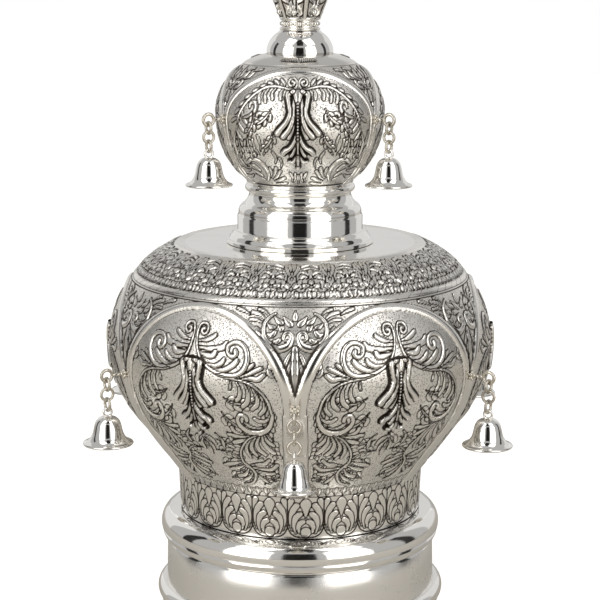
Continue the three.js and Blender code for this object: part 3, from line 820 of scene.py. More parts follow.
def repeatSheet(profile, count, turn, columns, rows, footS, topS, radius):
    # x runs from the middle of each repeat, in millimetres at the given radius
    edge = math.pi * profile["widest"]
    sheet = newSheet(np.linspace(-edge, edge, columns + 1), np.linspace(footS, topS, rows + 1))
    angle = sheet["u"] / profile["widest"] - math.radians(turn)
    pitch = 2 * math.pi / count
    sheet["local"] = ((angle + pitch / 2) % pitch - pitch / 2) * radius
    sheet["x"] = np.abs(sheet["local"])
    return sheet


def bandSheet(profile, facts):
    sheet = repeatSheet(profile, facts["count"], facts["turn"], facts["columnsEach"] * facts["count"],
                        facts["rows"], 0, 22.4, facts["radius"])
    s = sheet["s"]
    half = math.pi * facts["radius"] / facts["count"]
    # feathers that curl up and out from the foot, the outer pair first
    flat = {"rise": 0.16, "edge": 0.95, "cut": 0.16}
    addStroke(sheet, [(8.4, 8), (8.9, 14), (8.2, 18.5), (7.4, 20.4)], [0.8, 1.0, 1.5, 1.5], **flat)
    addStroke(sheet, [(6.6, 5), (7.5, 10), (6.6, 15), (4.7, 17.8)], [0.8, 1.2, 1.6, 1.6], **flat)
    addStroke(sheet, [(5.0, 3.4), (5.9, 7.6), (5.1, 11.4), (3.1, 13.2)], [0.7, 1.2, 1.6, 1.5], **flat)
    addStroke(sheet, [(0, 11.6), (0, 14), (0, 16.6), (0, 18.4), (0, 19.6)], [0.3, 1.1, 2.0, 2.8, 2.0], **flat)
    addStroke(sheet, [(3.2, 3.4), (3.9, 5.8), (3.0, 8.2), (1.5, 9.2)], [0.6, 1.1, 1.5, 1.4], **flat)
    addStroke(sheet, [(0, 3.5), (0, 3.6)], [2.6, 2.6], **flat)
    addLine(sheet, [(4.3, 4.8), (4.9, 4.0), (4.3, 3.2)], width=0.1, dark=0.8, cut=0.1)
    # the U-shaped frame and the line between neighbours
    addLine(sheet, [(half, 21.4), (half, 14), (half, 8), (8.9, 5.4), (7.4, 2.6), (4.4, 0.9), (0, 0.35)],
            width=0.16, dark=0.95, cut=0.15)
    rim = np.clip(1 - np.abs(s - 22.3) / 0.6, 0, 1)
    sheet["dark"] = np.maximum(sheet["dark"], 0.6 * rim)
    sheet["dark"][-1] = 0.7
    sheet["rise"][-1] = 0
    return sheet


bandPiece = sheetPiece("body_band", bandSheet(bodyProfile, bandSetup), bodyProfile)
tidyMesh(bandPiece, normals=False)
dress(bandPiece, ["body"], chasedSilver)

# ---- the shoulder: lobes, flowers and a ribbon border ----

shoulderSetup = {"count": 26, "turn": 5.3, "columnsEach": 26, "rows": 58, "radius": 84.0, "footS": 139.0,
                 "topS": 173.0, "ribbonS": 141.2, "ribbonHalf": 1.5}


def shoulderSheet(profile, facts):
    sheet = repeatSheet(profile, facts["count"], facts["turn"], facts["columnsEach"] * facts["count"],
                        facts["rows"], facts["footS"], facts["topS"], facts["radius"])
    s = sheet["s"]
    half = math.pi * facts["radius"] / facts["count"]
    sheet["ground"][:] = (s > 142) & (s < 166)
    sheet["dark"] += 0.25 * smoothStep(143, 146, s) * smoothStep(166, 160, s)
    # two bows over each lobe, with a tuft of leaves under them
    addStroke(sheet, [(half - 1, 147), (half - 0.9, 152), (8.2, 159.5), (4.8, 164), (0, 165.8)],
              [1.0, 1.2, 1.0], rise=0.9, edge=0.9)
    addStroke(sheet, [(half - 3, 153), (6.6, 158.6), (3.8, 162), (0, 163.2)], [0.6, 0.9, 0.7],
              rise=0.7, edge=0.9)
    addLeaf(sheet, [(2, 156), (4.2, 157.4), (5.4, 155.2)], 1.3, rise=0.8, edge=0.9)
    addLeaf(sheet, [(0.8, 157), (2.4, 159.4), (3.9, 159.8)], 1.2, rise=0.8, edge=0.9)
    addLeaf(sheet, [(0, 156), (0, 159), (0, 161)], 1.3, rise=0.8, edge=0.9)
    addFlower(sheet, 0, 149.8, 3.4, 5, 1.5, rise=0.9, edge=0.9)
    addFlower(sheet, half, 148.4, 3.6, 4, 1.5, turn=45, rise=0.9, edge=0.9)
    addLeaf(sheet, [(5.2, 149), (6.2, 152), (5.4, 154)], 1.0, rise=0.6, edge=0.8)
    # leaves that fill the gaps above and below the bows
    addLeaf(sheet, [(half, 154), (half, 159), (half, 163.5)], 1.3, rise=0.7, edge=0.9)
    addLeaf(sheet, [(half - 0.6, 156), (half - 2.6, 160.4), (half - 3.6, 164.6)], 1.2, rise=0.7, edge=0.9)
    addLeaf(sheet, [(half - 0.4, 160), (half - 1.4, 163.4), (half - 1.6, 166)], 1.0, rise=0.6, edge=0.9)
    for n in range(5):
        middle = (n + 0.5) * half / 5
        addLeaf(sheet, [(middle - 0.6, 143.4), (middle + 0.2, 144.8), (middle + 0.3, 146.2)], 0.95,
                rise=0.6, edge=0.85)
    # ribbon of short turns
    ribbon = facts["radius"] * 2 * math.pi / facts["count"]
    local = sheet["local"] / ribbon * 3
    twist = (local - np.floor(local) - 0.5) * 2
    fromRibbon = s - facts["ribbonS"]
    onRibbon = np.abs(fromRibbon) < facts["ribbonHalf"]
    roundness = np.sqrt(np.clip(1 - (fromRibbon / facts["ribbonHalf"]) ** 2, 0, 1))
    sheet["rise"] += np.where(onRibbon, 0.4 * roundness, 0)
    cut = np.clip(1 - np.abs(twist - 0.4 * fromRibbon) / 0.25, 0, 1) * onRibbon
    edges = np.clip(1 - np.abs(np.abs(fromRibbon) - 1.6) / 0.5, 0, 1)
    sheet["dark"] = np.maximum(sheet["dark"], np.maximum(0.65 * cut, 0.7 * edges))
    # a bead before the plain plate
    sheet["rise"] += 0.5 * np.sqrt(np.clip(1 - ((s - 168.6) / 1.2) ** 2, 0, 1))
    sheet["dark"] = np.maximum(sheet["dark"], 0.5 * np.clip(1 - np.abs(s - 167) / 0.6, 0, 1))
    sheet["rise"][0] = 0
    sheet["rise"][-1] = 0
    return sheet


shoulderPiece = sheetPiece("body_shoulder", shoulderSheet(bodyProfile, shoulderSetup), bodyProfile)
tidyMesh(shoulderPiece, normals=False)
dress(shoulderPiece, ["body"], chasedSilver)

# the plain plate on top and the wall inside, in one shell
s = bodyProfile["s"]
wallS = np.r_[np.linspace(bodyProfile["length"], 166, 6), np.linspace(160, 22, 34), [0]]
shoulderEnd = shoulderSetup["topS"]
outsideS = np.linspace(shoulderEnd, bodyProfile["length"], 12)
lining = [(radiusAt(bodyProfile, v), np.interp(v, s, bodyProfile["z"])) for v in outsideS]
for v in wallS:
    outR = np.interp(v, s, bodyProfile["out"][:, 0])
    outZ = np.interp(v, s, bodyProfile["out"][:, 1])
    height = np.interp(v, s, bodyProfile["z"])
    wall = bodyForm["wall"]
    lining.append((radiusAt(bodyProfile, v) - wall * outR, height - wall * outZ))


def openTurnedPiece(name, line, steps):
    # a single line of (radius, height), spun once round
    deselectAll()
    bpy.ops.mesh.primitive_circle_add(vertices=len(line), radius=mm, fill_type="NOTHING")
    piece = bpy.context.object
    piece.name = name
    setPoints(piece, [(r * mm, 0, z * mm) for r, z in line])
    bpy.ops.object.mode_set(mode="EDIT")
    bpy.ops.mesh.select_mode(type="EDGE")
    bpy.ops.mesh.select_all(action="DESELECT")
    bpy.ops.object.mode_set(mode="OBJECT")
    last = len(line) - 1
    for edge in piece.data.edges:
        edge.select = set(edge.vertices) == {0, last}
    bpy.ops.object.mode_set(mode="EDIT")
    bpy.ops.mesh.delete(type="EDGE")
    bpy.ops.mesh.select_all(action="SELECT")
    bpy.ops.mesh.spin(steps=steps, angle=2 * math.pi, center=(0, 0, 0), axis=(0, 0, 1))
    bpy.ops.object.mode_set(mode="OBJECT")
    tidyMesh(piece)
    smooth(piece)
    return piece


liningPiece = openTurnedPiece("body_plate_and_wall", lining, 180)
dress(liningPiece, ["body"], polishedSilver)

# ---- turned pieces ----

print("crown: turned base, neck and collar")

baseSetup = {"steps": 240}
baseProfile = (
    [(68, 0), (74.4, 0), (74.8, 0.3)]
    + arcPoints(73.8, 1.9, 1.6, -62, 48, 10)
    + arcPoints(72.8, 8.2, 4.7, -62, 60, 18)
    + [(74.4, 12.5), (73.3, 12.7), (72.7, 12.5), (72.5, 13.0), (72.4, 18), (72.2, 26), (72.0, 35.4),
       (71.5, 36.1), (71.3, 36.5), (72.4, 36.9), (73.6, 38.2), (74.3, 39.6), (74.6, 41.0), (74.2, 41.6),
       (74.0, 42.0), (74.4, 42.5)]
    + arcPoints(66.5, 44.6, 8.7, -12, 62, 24)
    + arcPoints(66.5, 44.6, 8.6, 66, 90, 6)
    + [(62.9, 53.1), (64, 51), (67.5, 47), (70, 42), (70, 34), (70, 20), (70, 4), (68.6, 2.6), (68, 1.6)]
)
basePiece = turnedPiece("base_piece", baseProfile, baseSetup["steps"])
dress(basePiece, ["base"], polishedSilver)
basePiece.data.materials.append(satinSilver)
for face in basePiece.data.polygons:
    middle = face.center
    onDrum = 0.0131 < middle.z < 0.0353 and math.hypot(middle.x, middle.y) > 0.071
    face.material_index = 1 if onDrum else 0

neckProfile = (
    [(30, 196.9), (38.6, 196.9), (39, 197.3), (39, 198.7), (38.6, 199.1), (37.4, 199.3), (36.9, 200.2),
     (36.6, 201.0), (36.0, 201.8), (35.3, 202.3), (35.0, 203.2), (34.4, 203.6), (33.3, 203.7), (33, 204.2),
     (33, 211.2), (32.7, 211.7)]
    + arcPoints(27.2, 213.2, 5.2, -8, 62, 12) + [(28.2, 219.2), (27.2, 221.2), (26.7, 222.8), (26.9, 223.8)]
    + arcPoints(26.6, 226.2, 2.3, -60, 70, 10) + [(27.9, 228.9), (28.2, 229.4)]
    + [(25.4, 229.4), (25.1, 226), (25, 221.6), (28, 217), (30.9, 211), (31, 205), (31, 200), (30, 198.2)]
)
neckPiece = turnedPiece("neck_piece", neckProfile, 200)
dress(neckPiece, ["neck"], polishedSilver)

collarProfile = (
    [(9, 295.4), (17.2, 295.4)]
    + arcPoints(5.2, 295.9, 12.1, 2, 60, 20) + [(11.0, 306.6), (11, 307)]
    + [(8.4, 307), (8.6, 301), (9, 297)]
)
collarPiece = turnedPiece("collar_piece", collarProfile, 96)
dress(collarPiece, ["collar"], polishedSilver)

# ---- upper bulb ----

print("crown: chased upper bulb")

bulbSetup = {
    "columns": 156, "rows": 164, "footS": 0.0, "topS": 84.0, "springS": 37.5,
    "outer": (45.97, 32.6), "inner": (42.7, 27.9), "rib": 0.8,
}
bulbScrolls = [
    ([(3.4, 60.8), (2.4, 60.6), (2.2, 59.2), (3.6, 58.2), (5.2, 59.2), (5.2, 61.4), (3.4, 62.8), (1.4, 62),
      (0.6, 59.4), (1.4, 57), (4, 56.2), (8, 57), (13, 57.8), (18.6, 57), (24, 53.6), (29, 48.6), (32.6, 43),
      (34.4, 38)], [0.8, 0.6, 0.6, 0.7, 0.6, 0.5, 0.6, 0.7, 0.7, 0.5]),
    ([(32.5, 16.6), (28.6, 18.7), (24, 17.7), (20.7, 13.8), (20.4, 9.2), (22.6, 5.2)],
     [0.9, 1.1, 1.6, 1.7, 1.2, 0.6]),
    ([(29.4, 41), (25.4, 42.4), (22.6, 45.6), (23.4, 48.6), (26, 48.6), (26.4, 46.4)],
     [0.6, 0.9, 1.1, 1.1, 0.8, 0.7]),
    ([(27, 36), (22, 36.6), (18.6, 40), (18.8, 43.2), (21, 43.4), (21.6, 41.4)],
     [0.5, 0.8, 1.0, 1.0, 0.8, 0.7]),
    ([(36, 33), (38.4, 28), (38.6, 21), (36.4, 15), (34.6, 14)], [0.4, 0.8, 0.9, 0.6, 0.4]),
]
bulbFingers = [
    ([(7.4, 57.6), (8.4, 60), (10.2, 62)], 0.95),
    ([(10.6, 58), (12, 60), (14.2, 61.4)], 0.95),
    ([(14, 58.2), (15.6, 59.4), (18, 60)], 0.9),
    ([(18, 57.8), (19.8, 58.2), (22, 57.8)], 0.9),
    ([(22, 55.6), (24, 55.8), (26.2, 54.8)], 0.9),
    ([(26, 52.4), (28, 52.4), (30.2, 51)], 0.9),
    ([(29.4, 48.8), (31.4, 48.6), (33.4, 47)], 0.9),
    ([(31.8, 45), (34, 44.6), (36, 42.8)], 0.9),
    ([(34, 40.6), (36.4, 39.8), (38.6, 38.6)], 0.9),
    ([(8, 56.4), (9.4, 54), (9, 51)], 1.0),
    ([(12, 57), (14, 54.4), (13.6, 51)], 1.1),
    ([(16, 57), (18.2, 53.6), (17.4, 49.6)], 1.1),
    ([(20.4, 55.4), (22, 52.4), (20.8, 49)], 1.1),
    ([(30.8, 44.6), (30.4, 41), (27.8, 38.2)], 1.1),
    ([(33.4, 40.6), (32.6, 36.8), (29.8, 33.8)], 1.1),
    ([(34.4, 37.4), (34.8, 33), (32.4, 29.4)], 1.1),
    ([(21, 24), (20.6, 28), (21.8, 32)], 0.8),
    ([(19.6, 22), (17.4, 25.4), (17.6, 29.4)], 0.8),
    ([(22, 22), (24.6, 25.6), (25, 30)], 0.9),
    ([(24, 21.6), (27.8, 24), (29.6, 28)], 0.9),
    ([(31, 15.4), (28.4, 14.8), (25.6, 12.2)], 1.2),
    ([(31.8, 12.6), (29, 10.6), (25.8, 8.4)], 1.2),
    ([(30.6, 9), (28, 6.8), (25.6, 5.4)], 0.9),
    ([(33.6, 14), (36.4, 14.6), (39, 17)], 1.1),
    ([(33.6, 11.6), (37, 11.2), (40.4, 12.4)], 1.2),
    ([(33, 8.6), (36.6, 7), (40.4, 7)], 1.1),
    ([(19, 7.7), (17.6, 10.8), (17.7, 13.8)], 1.0),
    ([(18.6, 6.8), (15.6, 10), (13.6, 14.2)], 1.2),
    ([(18, 6), (14.4, 8.4), (11.2, 12.2)], 1.1),
    ([(17.6, 4.6), (13.4, 5.6), (9.4, 7.4)], 1.2),
    ([(17, 2.8), (12.4, 2.6), (8.6, 3.4)], 1.0),
    ([(4.8, 4.4), (4, 8), (5.2, 11)], 0.9),
    ([(3.4, 4), (2, 7.6), (2, 10.6)], 0.9),
    ([(0, 3), (0, 6.8), (0, 9.4)], 0.9),
    ([(38.6, 27), (41, 29.4), (41.4, 33)], 0.8),
    ([(38.6, 20), (41, 22), (42, 25)], 0.8),
    ([(13.4, 17), (12.4, 20.4), (14, 23.6)], 0.8),
    ([(10.4, 14.4), (9.4, 17.6), (10.4, 20.4)], 0.7),
]
bulbSprigs = [
    ((24, 44), -100, 11, 60, 3, 4.0), ((14, 46), -70, 11, 50, 3, 3.8), ((28, 32), -80, 11, -40, 3, 3.8),
    ((35, 32), -95, 12, 20, 3, 3.6), ((13, 34), -80, 10, 50, 3, 3.4),
]
# foliage between two arches: (distance from the middle of the gap, distance up the profile), width
bulbGapFingers = [
    ([(0, 46), (0, 50), (0, 54)], 1.2), ([(1.6, 48), (3.4, 51.4), (3, 55)], 1.1),
    ([(0.6, 55), (2.6, 58), (5.4, 59)], 1.2), ([(4, 55), (6.8, 56.6), (8.6, 60)], 1.1),
    ([(0, 58), (0, 61.4), (0, 64.4)], 1.2), ([(1.4, 61), (3.6, 63.4), (3.6, 66.6)], 1.1),
    ([(4.6, 61), (7.6, 62.6), (9, 66)], 1.2), ([(8.6, 61.4), (12, 62.6), (14, 65.6)], 1.1),
    ([(0, 66), (0, 68.6), (0, 70)], 1.0), ([(6, 66), (8.6, 68), (11.6, 68.8)], 1.0),
    ([(13, 66.4), (16, 67.6), (19.4, 68.2)], 0.9),
]


def bulbSheet(profile, facts):
    half = math.pi * profile["widest"] / bulbForm["panels"]
    sheet = newSheet(np.linspace(-half, half, facts["columns"] + 1),
                     np.linspace(facts["footS"], facts["topS"], facts["rows"] + 1))
    x = np.abs(sheet["u"])
    s = sheet["s"]
    spring = facts["springS"]
    up = np.maximum(s - spring, 0)
    offIn = np.where(s > spring, (np.hypot(x / facts["inner"][0], up / facts["inner"][1]) - 1) * 36,
                     x - half + 3.4 * radiusAt(profile, spring) / radiusAt(profile, s))
    reachOut = np.hypot(x / facts["outer"][0], up / facts["outer"][1])
    offOut = np.where(s > spring, (reachOut - 1) * 38, x - half)
    sheet["x"] = x
    sheet["ground"][:] = 1
    sheet["dark"] += 0.12
    for points, width in bulbFingers:
        addLeaf(sheet, points, width, rise=0.5, edge=0.9, crease=0.12)
    for points, widths in bulbScrolls:
        addStroke(sheet, points, widths, rise=0.65, edge=0.9)
    inPanel = offIn < 0
    outside = (offOut > 0) & (s > spring)
    across = np.clip(offIn / np.maximum(offIn - offOut, 0.01), 0, 1)
    rib = facts["rib"] * np.sqrt(np.sin(np.pi * across))
    for root, turn, length, bend, pairs, size in bulbSprigs:
        addSprig(sheet, root, turn, length, bend, pairs, size, rise=0.4, edge=0.9, crease=0.12)
    # painted shadow round the upper cast leaf
    paintedShadowRoundLeaf(sheet, leafSetup["upperS"], 1.04)
    field = {key: sheet[key].copy() for key in ("rise", "dark", "ground")}
    # foliage in the gap between two arches, under the plain top
    sheet["x"] = half - x
    sheet["ground"][:] = 1
    sheet["rise"][:] = 0
    sheet["dark"][:] = 0.3
    for points, width in bulbGapFingers:
        addLeaf(sheet, points, width, rise=0.6, edge=0.95, crease=0.12)
    inGap = outside & (s < 70.6)
    # a tuft under the collar, over each panel
    tuft = newSheet(sheet["u"][0], sheet["s"][:, 0])
    tuft["x"] = x
    for lean in range(9):
        a = math.radians(12 + 17 * lean)
        foot = (1.2 + 1.7 * lean, 74.6 + 0.1 * lean)
        addLeaf(tuft, [foot, (foot[0] + 1.6 * math.sin(a), foot[1] + 1.7), (foot[0] + 0.4, foot[1] + 3.4)],
                1.0, rise=0.6, edge=0.95)
    inTuft = (s > 71.5) & (x < 17) & outside
    plainRise = np.where(outside, 0, rib)
    sheet["rise"] = np.where(inPanel, field["rise"], np.where(inGap, sheet["rise"], plainRise))
    sheet["dark"] = np.where(inPanel, field["dark"], np.where(inGap, sheet["dark"], 0))
    sheet["ground"] = np.where(inPanel, field["ground"], np.where(inGap, sheet["ground"], 0))
    sheet["rise"] = np.where(inTuft, tuft["rise"], sheet["rise"])
    sheet["dark"] = np.where(inTuft, tuft["dark"], sheet["dark"])
    border = np.clip(1 - np.abs(s - 70.9) / 0.5, 0, 1) * 0.9 * outside
    sheet["dark"] = np.maximum(sheet["dark"], border)
    sheet["rise"] += 0.35 * smoothStep(70.6, 72, s) * outside
    line = np.clip(1 - np.abs(offIn + 0.2) / 0.5, 0, 1) * 0.85
    outLine = np.clip(1 - np.abs(offOut - 0.25) / 0.5, 0, 1) * 0.8 * (s > spring)
    sheet["dark"] = np.maximum(sheet["dark"], np.maximum(line, outLine))
    return sheet


bulbPanel = sheetPiece("bulb_panel_1", bulbSheet(bulbProfile, bulbSetup), bulbProfile)
dress(bulbPanel, ["upper_bulb"], chasedSilver)
for n in range(1, bulbForm["panels"]):
    panel = copyTurned(bulbPanel, "bulb_panel_%d" % (n + 1), n * 2 * math.pi / 3)
    dress(panel, ["upper_bulb"], chasedSilver)
s = bulbProfile["s"]
bulbLine = [(radiusAt(bulbProfile, v), np.interp(v, s, bulbProfile["z"]))
            for v in np.linspace(bulbSetup["topS"], bulbProfile["length"], 8)]
for v in np.r_[np.linspace(bulbProfile["length"] - 0.2, 72, 6), np.linspace(68, 2, 20), [0]]:
    outR = np.interp(v, s, bulbProfile["out"][:, 0])
    outZ = np.interp(v, s, bulbProfile["out"][:, 1])
    height = np.interp(v, s, bulbProfile["z"])
    wall = bulbForm["wall"]
    bulbLine.append((radiusAt(bulbProfile, v) - wall * outR, height - wall * outZ * (v > 3)))
bulbWall = openTurnedPiece("bulb_top_and_wall", bulbLine, 120)
dress(bulbWall, ["upper_bulb"], polishedSilver)

# ---- cast leaves ----

print("crown: cast leaves")

def leafPiece(name, profile, centreS, middleAngle):
    size = leafSetup
    half = 11.6
    sheet = newSheet(np.linspace(-half, half, size["columns"] + 1),
                     np.linspace(centreS - size["length"] / 2, centreS + size["length"] / 2,
                                 size["rows"] + 1))
    local = np.abs(sheet["u"])
    sheet["x"] = local
    sheet["y"] = sheet["s"] - centreS
    sheet["rise"][:] = -0.8
    for points, widths in leafStrokes:
        addStroke(sheet, points, widths, rise=2.7, edge=1.0, crease=0.3, cut=0.1)
    for x, y in leafBeads:
        addStroke(sheet, [(x, y), (x, y - 0.05)], [0.62, 0.62], rise=2.5, edge=0.9, cut=0.4)
    sheet["rise"] = np.where(sheet["rise"] > 0, sheet["rise"] * 0.75, sheet["rise"])
    sheet["rise"] += np.where(sheet["rise"] > 0.1, 0.55, 0)
    sheet["rise"] = np.minimum(sheet["rise"], size["depth"])
    # true width on the narrower part of the bulb
    sheet["u"] = sheet["u"] * profile["widest"] / radiusAt(profile, sheet["s"])
    piece = sheetPiece(name, sheet, profile)
    keep = (sheet["rise"] > -0.5).ravel()
    makeActive(piece)
    bpy.ops.object.mode_set(mode="EDIT")
    bpy.ops.mesh.select_mode(type="FACE")
    bpy.ops.mesh.select_all(action="DESELECT")
    bpy.ops.object.mode_set(mode="OBJECT")
    for face in piece.data.polygons:
        face.select = not any(keep[v] for v in face.vertices)
    bpy.ops.object.mode_set(mode="EDIT")
    bpy.ops.mesh.delete(type="FACE")
    bpy.ops.object.mode_set(mode="OBJECT")
    piece.data.transform(Matrix.Rotation(middleAngle, 4, "Z"))
    return piece


lowerLeaf = leafPiece("leaf_lower_piece_1", bodyProfile, leafSetup["lowerS"], math.pi / 6)
upperLeaf = leafPiece("leaf_upper_piece_1", bulbProfile, leafSetup["upperS"], 0)
dress(lowerLeaf, ["leaf_lower_1"], castSilver)
dress(upperLeaf, ["leaf_upper_1"], castSilver)
for n in range(1, 6):
    leaf = copyTurned(lowerLeaf, "leaf_lower_piece_%d" % (n + 1), n * math.pi / 3)
    dress(leaf, ["leaf_lower_%d" % (n + 1)], castSilver)
for n in range(1, 3):
    leaf = copyTurned(upperLeaf, "leaf_upper_piece_%d" % (n + 1), n * 2 * math.pi / 3)
    dress(leaf, ["leaf_upper_%d" % (n + 1)], castSilver)

# ---- coronet ----

print("crown: coronet")

coronetSetup = {"foot": 307.3, "ring": 7.0, "petals": 6, "length": 33, "beads": 26}
petalLine = [(9.6, 0), (11.2, 4), (13.4, 9), (15.9, 16), (17.6, 23), (19.6, 28.4), (21.0, 31.6)]


def petalPiece(name):
    # an acanthus petal, leaning outwards, with lobed edges and a raised middle vein
    rows, columns = 56, 20
    deselectAll()
    bpy.ops.mesh.primitive_grid_add(x_subdivisions=columns, y_subdivisions=rows, size=1)
    piece = bpy.context.object
    piece.name = name
    line = smoothPath(petalLine, 8)
    steps = np.r_[0, np.cumsum(np.hypot(*np.diff(line, axis=0).T))]
    t, v = np.meshgrid(np.linspace(0, 1, rows + 1), np.linspace(-1, 1, columns + 1), indexing="ij")
    r = np.interp(t * steps[-1], steps, line[:, 0])
    z = np.interp(t * steps[-1], steps, line[:, 1])
    half = np.interp(t, [0, 0.15, 0.4, 0.6, 0.8, 0.93, 1], [2.6, 3.6, 4.9, 4.7, 3.6, 2.2, 0.4])
    lobes = 1 - 0.26 * np.abs(np.sin(4.5 * np.pi * t)) ** 4
    half = half * np.where(np.abs(v) > 0.4, 1 - (1 - lobes) * (np.abs(v) - 0.4) / 0.6, 1)
    trough = 1.1 * v ** 2 - 0.9 * np.exp(-(v / 0.22) ** 2) * (1 - t)
    fingers = 0.35 * np.cos(9 * np.pi * t + 3.2 * np.abs(v)) * smoothStep(0.15, 0.5, np.abs(v))
    out = r - trough - fingers
    start = coronetSetup["foot"] + coronetSetup["ring"] - 1
    points = np.stack([v * half, -out, z + start + 0.9 * v ** 2], -1) * mm
    setPoints(piece, points.reshape(-1, 3))
    across = np.abs(v)
    wave = np.abs(np.cos(4.5 * np.pi * t + 1.6 * across))
    groove = np.clip(1 - wave / 0.35, 0, 1) * smoothStep(0.15, 0.4, across)
    vein = np.exp(-((np.abs(v) - 0.28) / 0.1) ** 2)
    dark = np.clip(0.95 * np.maximum(groove, vein) + 0.12, 0, 1)
    layer = piece.data.attributes.new("dark", "FLOAT", "POINT")
    layer.data.foreach_set("value", dark.astype(np.float32).ravel())
    ground = piece.data.attributes.new("ground", "FLOAT", "POINT")
    ground.data.foreach_set("value", np.zeros(dark.size, np.float32))
    wall = piece.modifiers.new("wall", "SOLIDIFY")
    wall.thickness = 0.9 * mm
    wall.offset = 0
    applyModifiers(piece)
    smooth(piece, 60)
    return piece


def ballPiece(radius, place, segments=16, rings=10):
    deselectAll()
    bpy.ops.mesh.primitive_uv_sphere_add(segments=segments, ring_count=rings, radius=radius * mm,
                                         location=Vector(place) * mm)
    ball = bpy.context.object
    bpy.ops.object.shade_smooth()
    applyPlace(ball)
    return ball


def atAngle(angle, radius, height):
    return (radius * math.sin(angle), -radius * math.cos(angle), height)


foot = coronetSetup["foot"]
ringProfile = (
    [(8.2, foot), (10.1, foot)] + arcPoints(9.7, foot + 0.8, 0.8, -70, 70, 8)
    + [(9.5, foot + 1.8), (9.4, foot + 3.5), (9.5, foot + 5.2)]
    + arcPoints(9.7, foot + 6.2, 0.8, -70, 70, 8) + [(9.6, foot + 7), (8.2, foot + 7)]
)
coronetParts = [turnedPiece("coronet_ring", ringProfile, 96)]
for n in range(coronetSetup["beads"]):
    beadPlace = atAngle(2 * math.pi * n / coronetSetup["beads"], 9.4, foot + 3.5)
    coronetParts.append(ballPiece(1.15, beadPlace, 12, 8))
petal = petalPiece("petal")
for n in range(coronetSetup["petals"]):
    turn = 2 * math.pi * (n + 0.25) / coronetSetup["petals"]
    coronetParts.append(copyTurned(petal, "petal_turned", turn))
    gapAngle = turn + math.pi / coronetSetup["petals"]
    coronetParts.append(ballPiece(1.5, atAngle(gapAngle, 10.9, foot + 9.5)))
    coronetParts.append(ballPiece(1.2, atAngle(gapAngle, 11.8, foot + 12.2)))
    coronetParts.append(ballPiece(1.0, atAngle(turn, 20.6, foot + 37.6)))
bpy.data.objects.remove(petal)
coronetPiece = joinAll("coronet_piece", coronetParts)
dress(coronetPiece, ["coronet"], castSilver)

# ---- eyelets, chains and bells ----

print("crown: eyelets, chains and bells")

hangSetup = {
    "loop": 2.9, "wire": 0.75, "linkWire": 0.62, "links": 3, "bellLoop": 2.2, "bellWire": 0.5,
    "thicker": 0.12,        # the round wire fills out the flat-sided wire of the solids
    "lipInside": 0.955,     # the round lip of a bell stays inside the eight-sided one of the solid
    "lower": {"reach": 111.5, "link": 3.2, "width": 1.0, "shank": 101.5},
    "front": {"reach": 111.5, "link": 3.2, "width": 0.83, "shank": 100.8},
    "upper": {"reach": 53.0, "link": 2.9, "width": 0.94, "shank": 44.7},
}


def hoopPiece(radius, wire, faceFront, place):
    deselectAll()
    turn = (math.pi / 2, 0, 0) if faceFront else (math.pi / 2, 0, math.pi / 2)
    bpy.ops.mesh.primitive_torus_add(location=Vector(place) * mm, rotation=turn, major_radius=radius * mm,
                                     minor_radius=(wire + hangSetup["thicker"]) * mm, major_segments=28,
                                     minor_segments=10)
    hoop = bpy.context.object
    bpy.ops.object.shade_smooth()
    applyPlace(hoop)
    return hoop


def eyeletPiece(facts):
    reach, height = facts["reach"], facts["height"]
    parts = [hoopPiece(hangSetup["loop"], hangSetup["wire"], False, (0, -reach, height))]
    start = facts["shank"]
    end = reach - hangSetup["loop"]
    deselectAll()
    bpy.ops.mesh.primitive_cylinder_add(vertices=14, radius=0.8 * mm, depth=(end - start) * mm,
                                        location=Vector((0, -(start + end) / 2, height)) * mm,
                                        rotation=(math.pi / 2, 0, 0))
    shank = bpy.context.object
    bpy.ops.object.shade_smooth()
    applyPlace(shank)
    parts.append(shank)
    for n in range(6):
        a = 2 * math.pi * (n + 0.5) / 6
        parts.append(ballPiece(1.05, (1.75 * math.cos(a), -start - 0.7, height + 1.75 * math.sin(a)), 12, 8))
    parts.append(ballPiece(1.25, (0, -start - 1.5, height), 12, 8))
    return parts


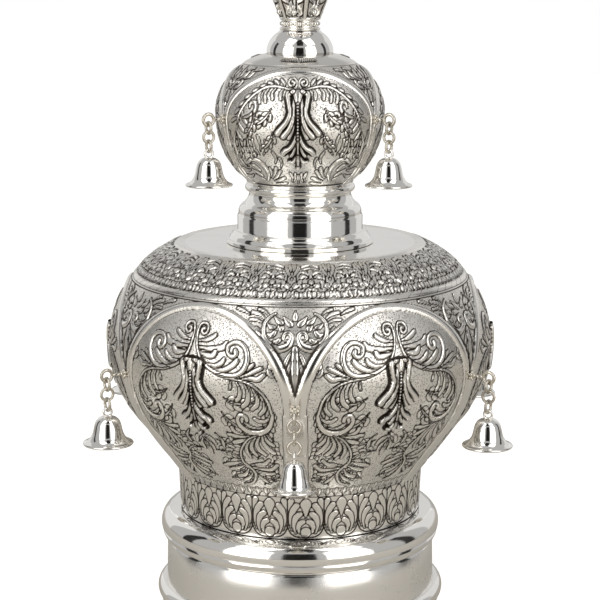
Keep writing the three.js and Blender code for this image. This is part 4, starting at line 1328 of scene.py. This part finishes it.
def chainPiece(facts):
    radius = facts["link"]
    pitch = 2 * (radius - hangSetup["linkWire"]) + 0.12
    first = facts["height"] - hangSetup["loop"] + hangSetup["wire"] + hangSetup["linkWire"] + 0.3 - radius
    parts = []
    for n in range(hangSetup["links"]):
        place = (0, -facts["reach"], first - n * pitch)
        parts.append(hoopPiece(radius, hangSetup["linkWire"], n % 2 == 0, place))
    return parts, first - (hangSetup["links"] - 1) * pitch - radius


def bellPiece(facts, chainBottom):
    top = chainBottom + hangSetup["linkWire"] + hangSetup["bellWire"] + 0.3 - hangSetup["bellLoop"]
    crown = top - 1.9
    width = facts["width"] * hangSetup["lipInside"]
    outside = [(0, 0), (1.6, -0.05), (3.2, -0.3), (4.6, -0.9), (5.8, -1.9), (6.6, -3.1), (7.1, -4.5),
               (7.5, -6.2), (7.9, -8.0), (8.5, -9.7), (9.4, -11.2), (10.7, -12.5), (12.0, -13.2),
               (13.0, -13.5), (13.5, -13.9),
               (13.5, -14.4), (13.1, -14.8)]
    inside = [(12.4, -14.5), (10.6, -13.6), (8.8, -12.2), (7.6, -10.2), (7.0, -7.8), (6.4, -5.2), (5.2, -3.2),
              (3.2, -1.8), (0, -1.3)]
    line = smoothPath(outside[::-1], 2).tolist()[::-1] + inside
    cup = openTurnedPiece("bell_cup", [(r * width, z + crown) for r, z in line], 48)
    cup.data.transform(Matrix.Translation((0, -facts["reach"] * mm, 0)))
    return [cup, hoopPiece(hangSetup["bellLoop"], hangSetup["bellWire"], hangSetup["links"] % 2 == 0,
                           (0, -facts["reach"], top))]


def hangStation(kind, number, angle, facts):
    tag = "%s_%d" % (kind, number)
    low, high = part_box("eyelet_" + tag)
    facts = dict(facts, height=(low[2] + high[2]) / 2 / mm)
    links, bottom = chainPiece(facts)
    made = [("eyelet_" + tag, eyeletPiece(facts), "wire_silver", wireSilver),
            ("chain_" + tag, links, "wire_silver", wireSilver),
            ("bell_" + tag, bellPiece(facts, bottom), "polished_silver", polishedSilver)]
    for node, parts, slot, material in made:
        piece = joinAll(node + "_piece", parts) if len(parts) > 1 else parts[0]
        piece.data.transform(Matrix.Rotation(angle, 4, "Z"))
        dress(piece, [node], material)


for n in range(6):
    hangStation("lower", n + 1, n * math.pi / 3, hangSetup["front" if n == 0 else "lower"])
for n in range(3):
    hangStation("upper", n + 1, (2 * n + 1) * math.pi / 3, hangSetup["upper"])

print("crown: done")
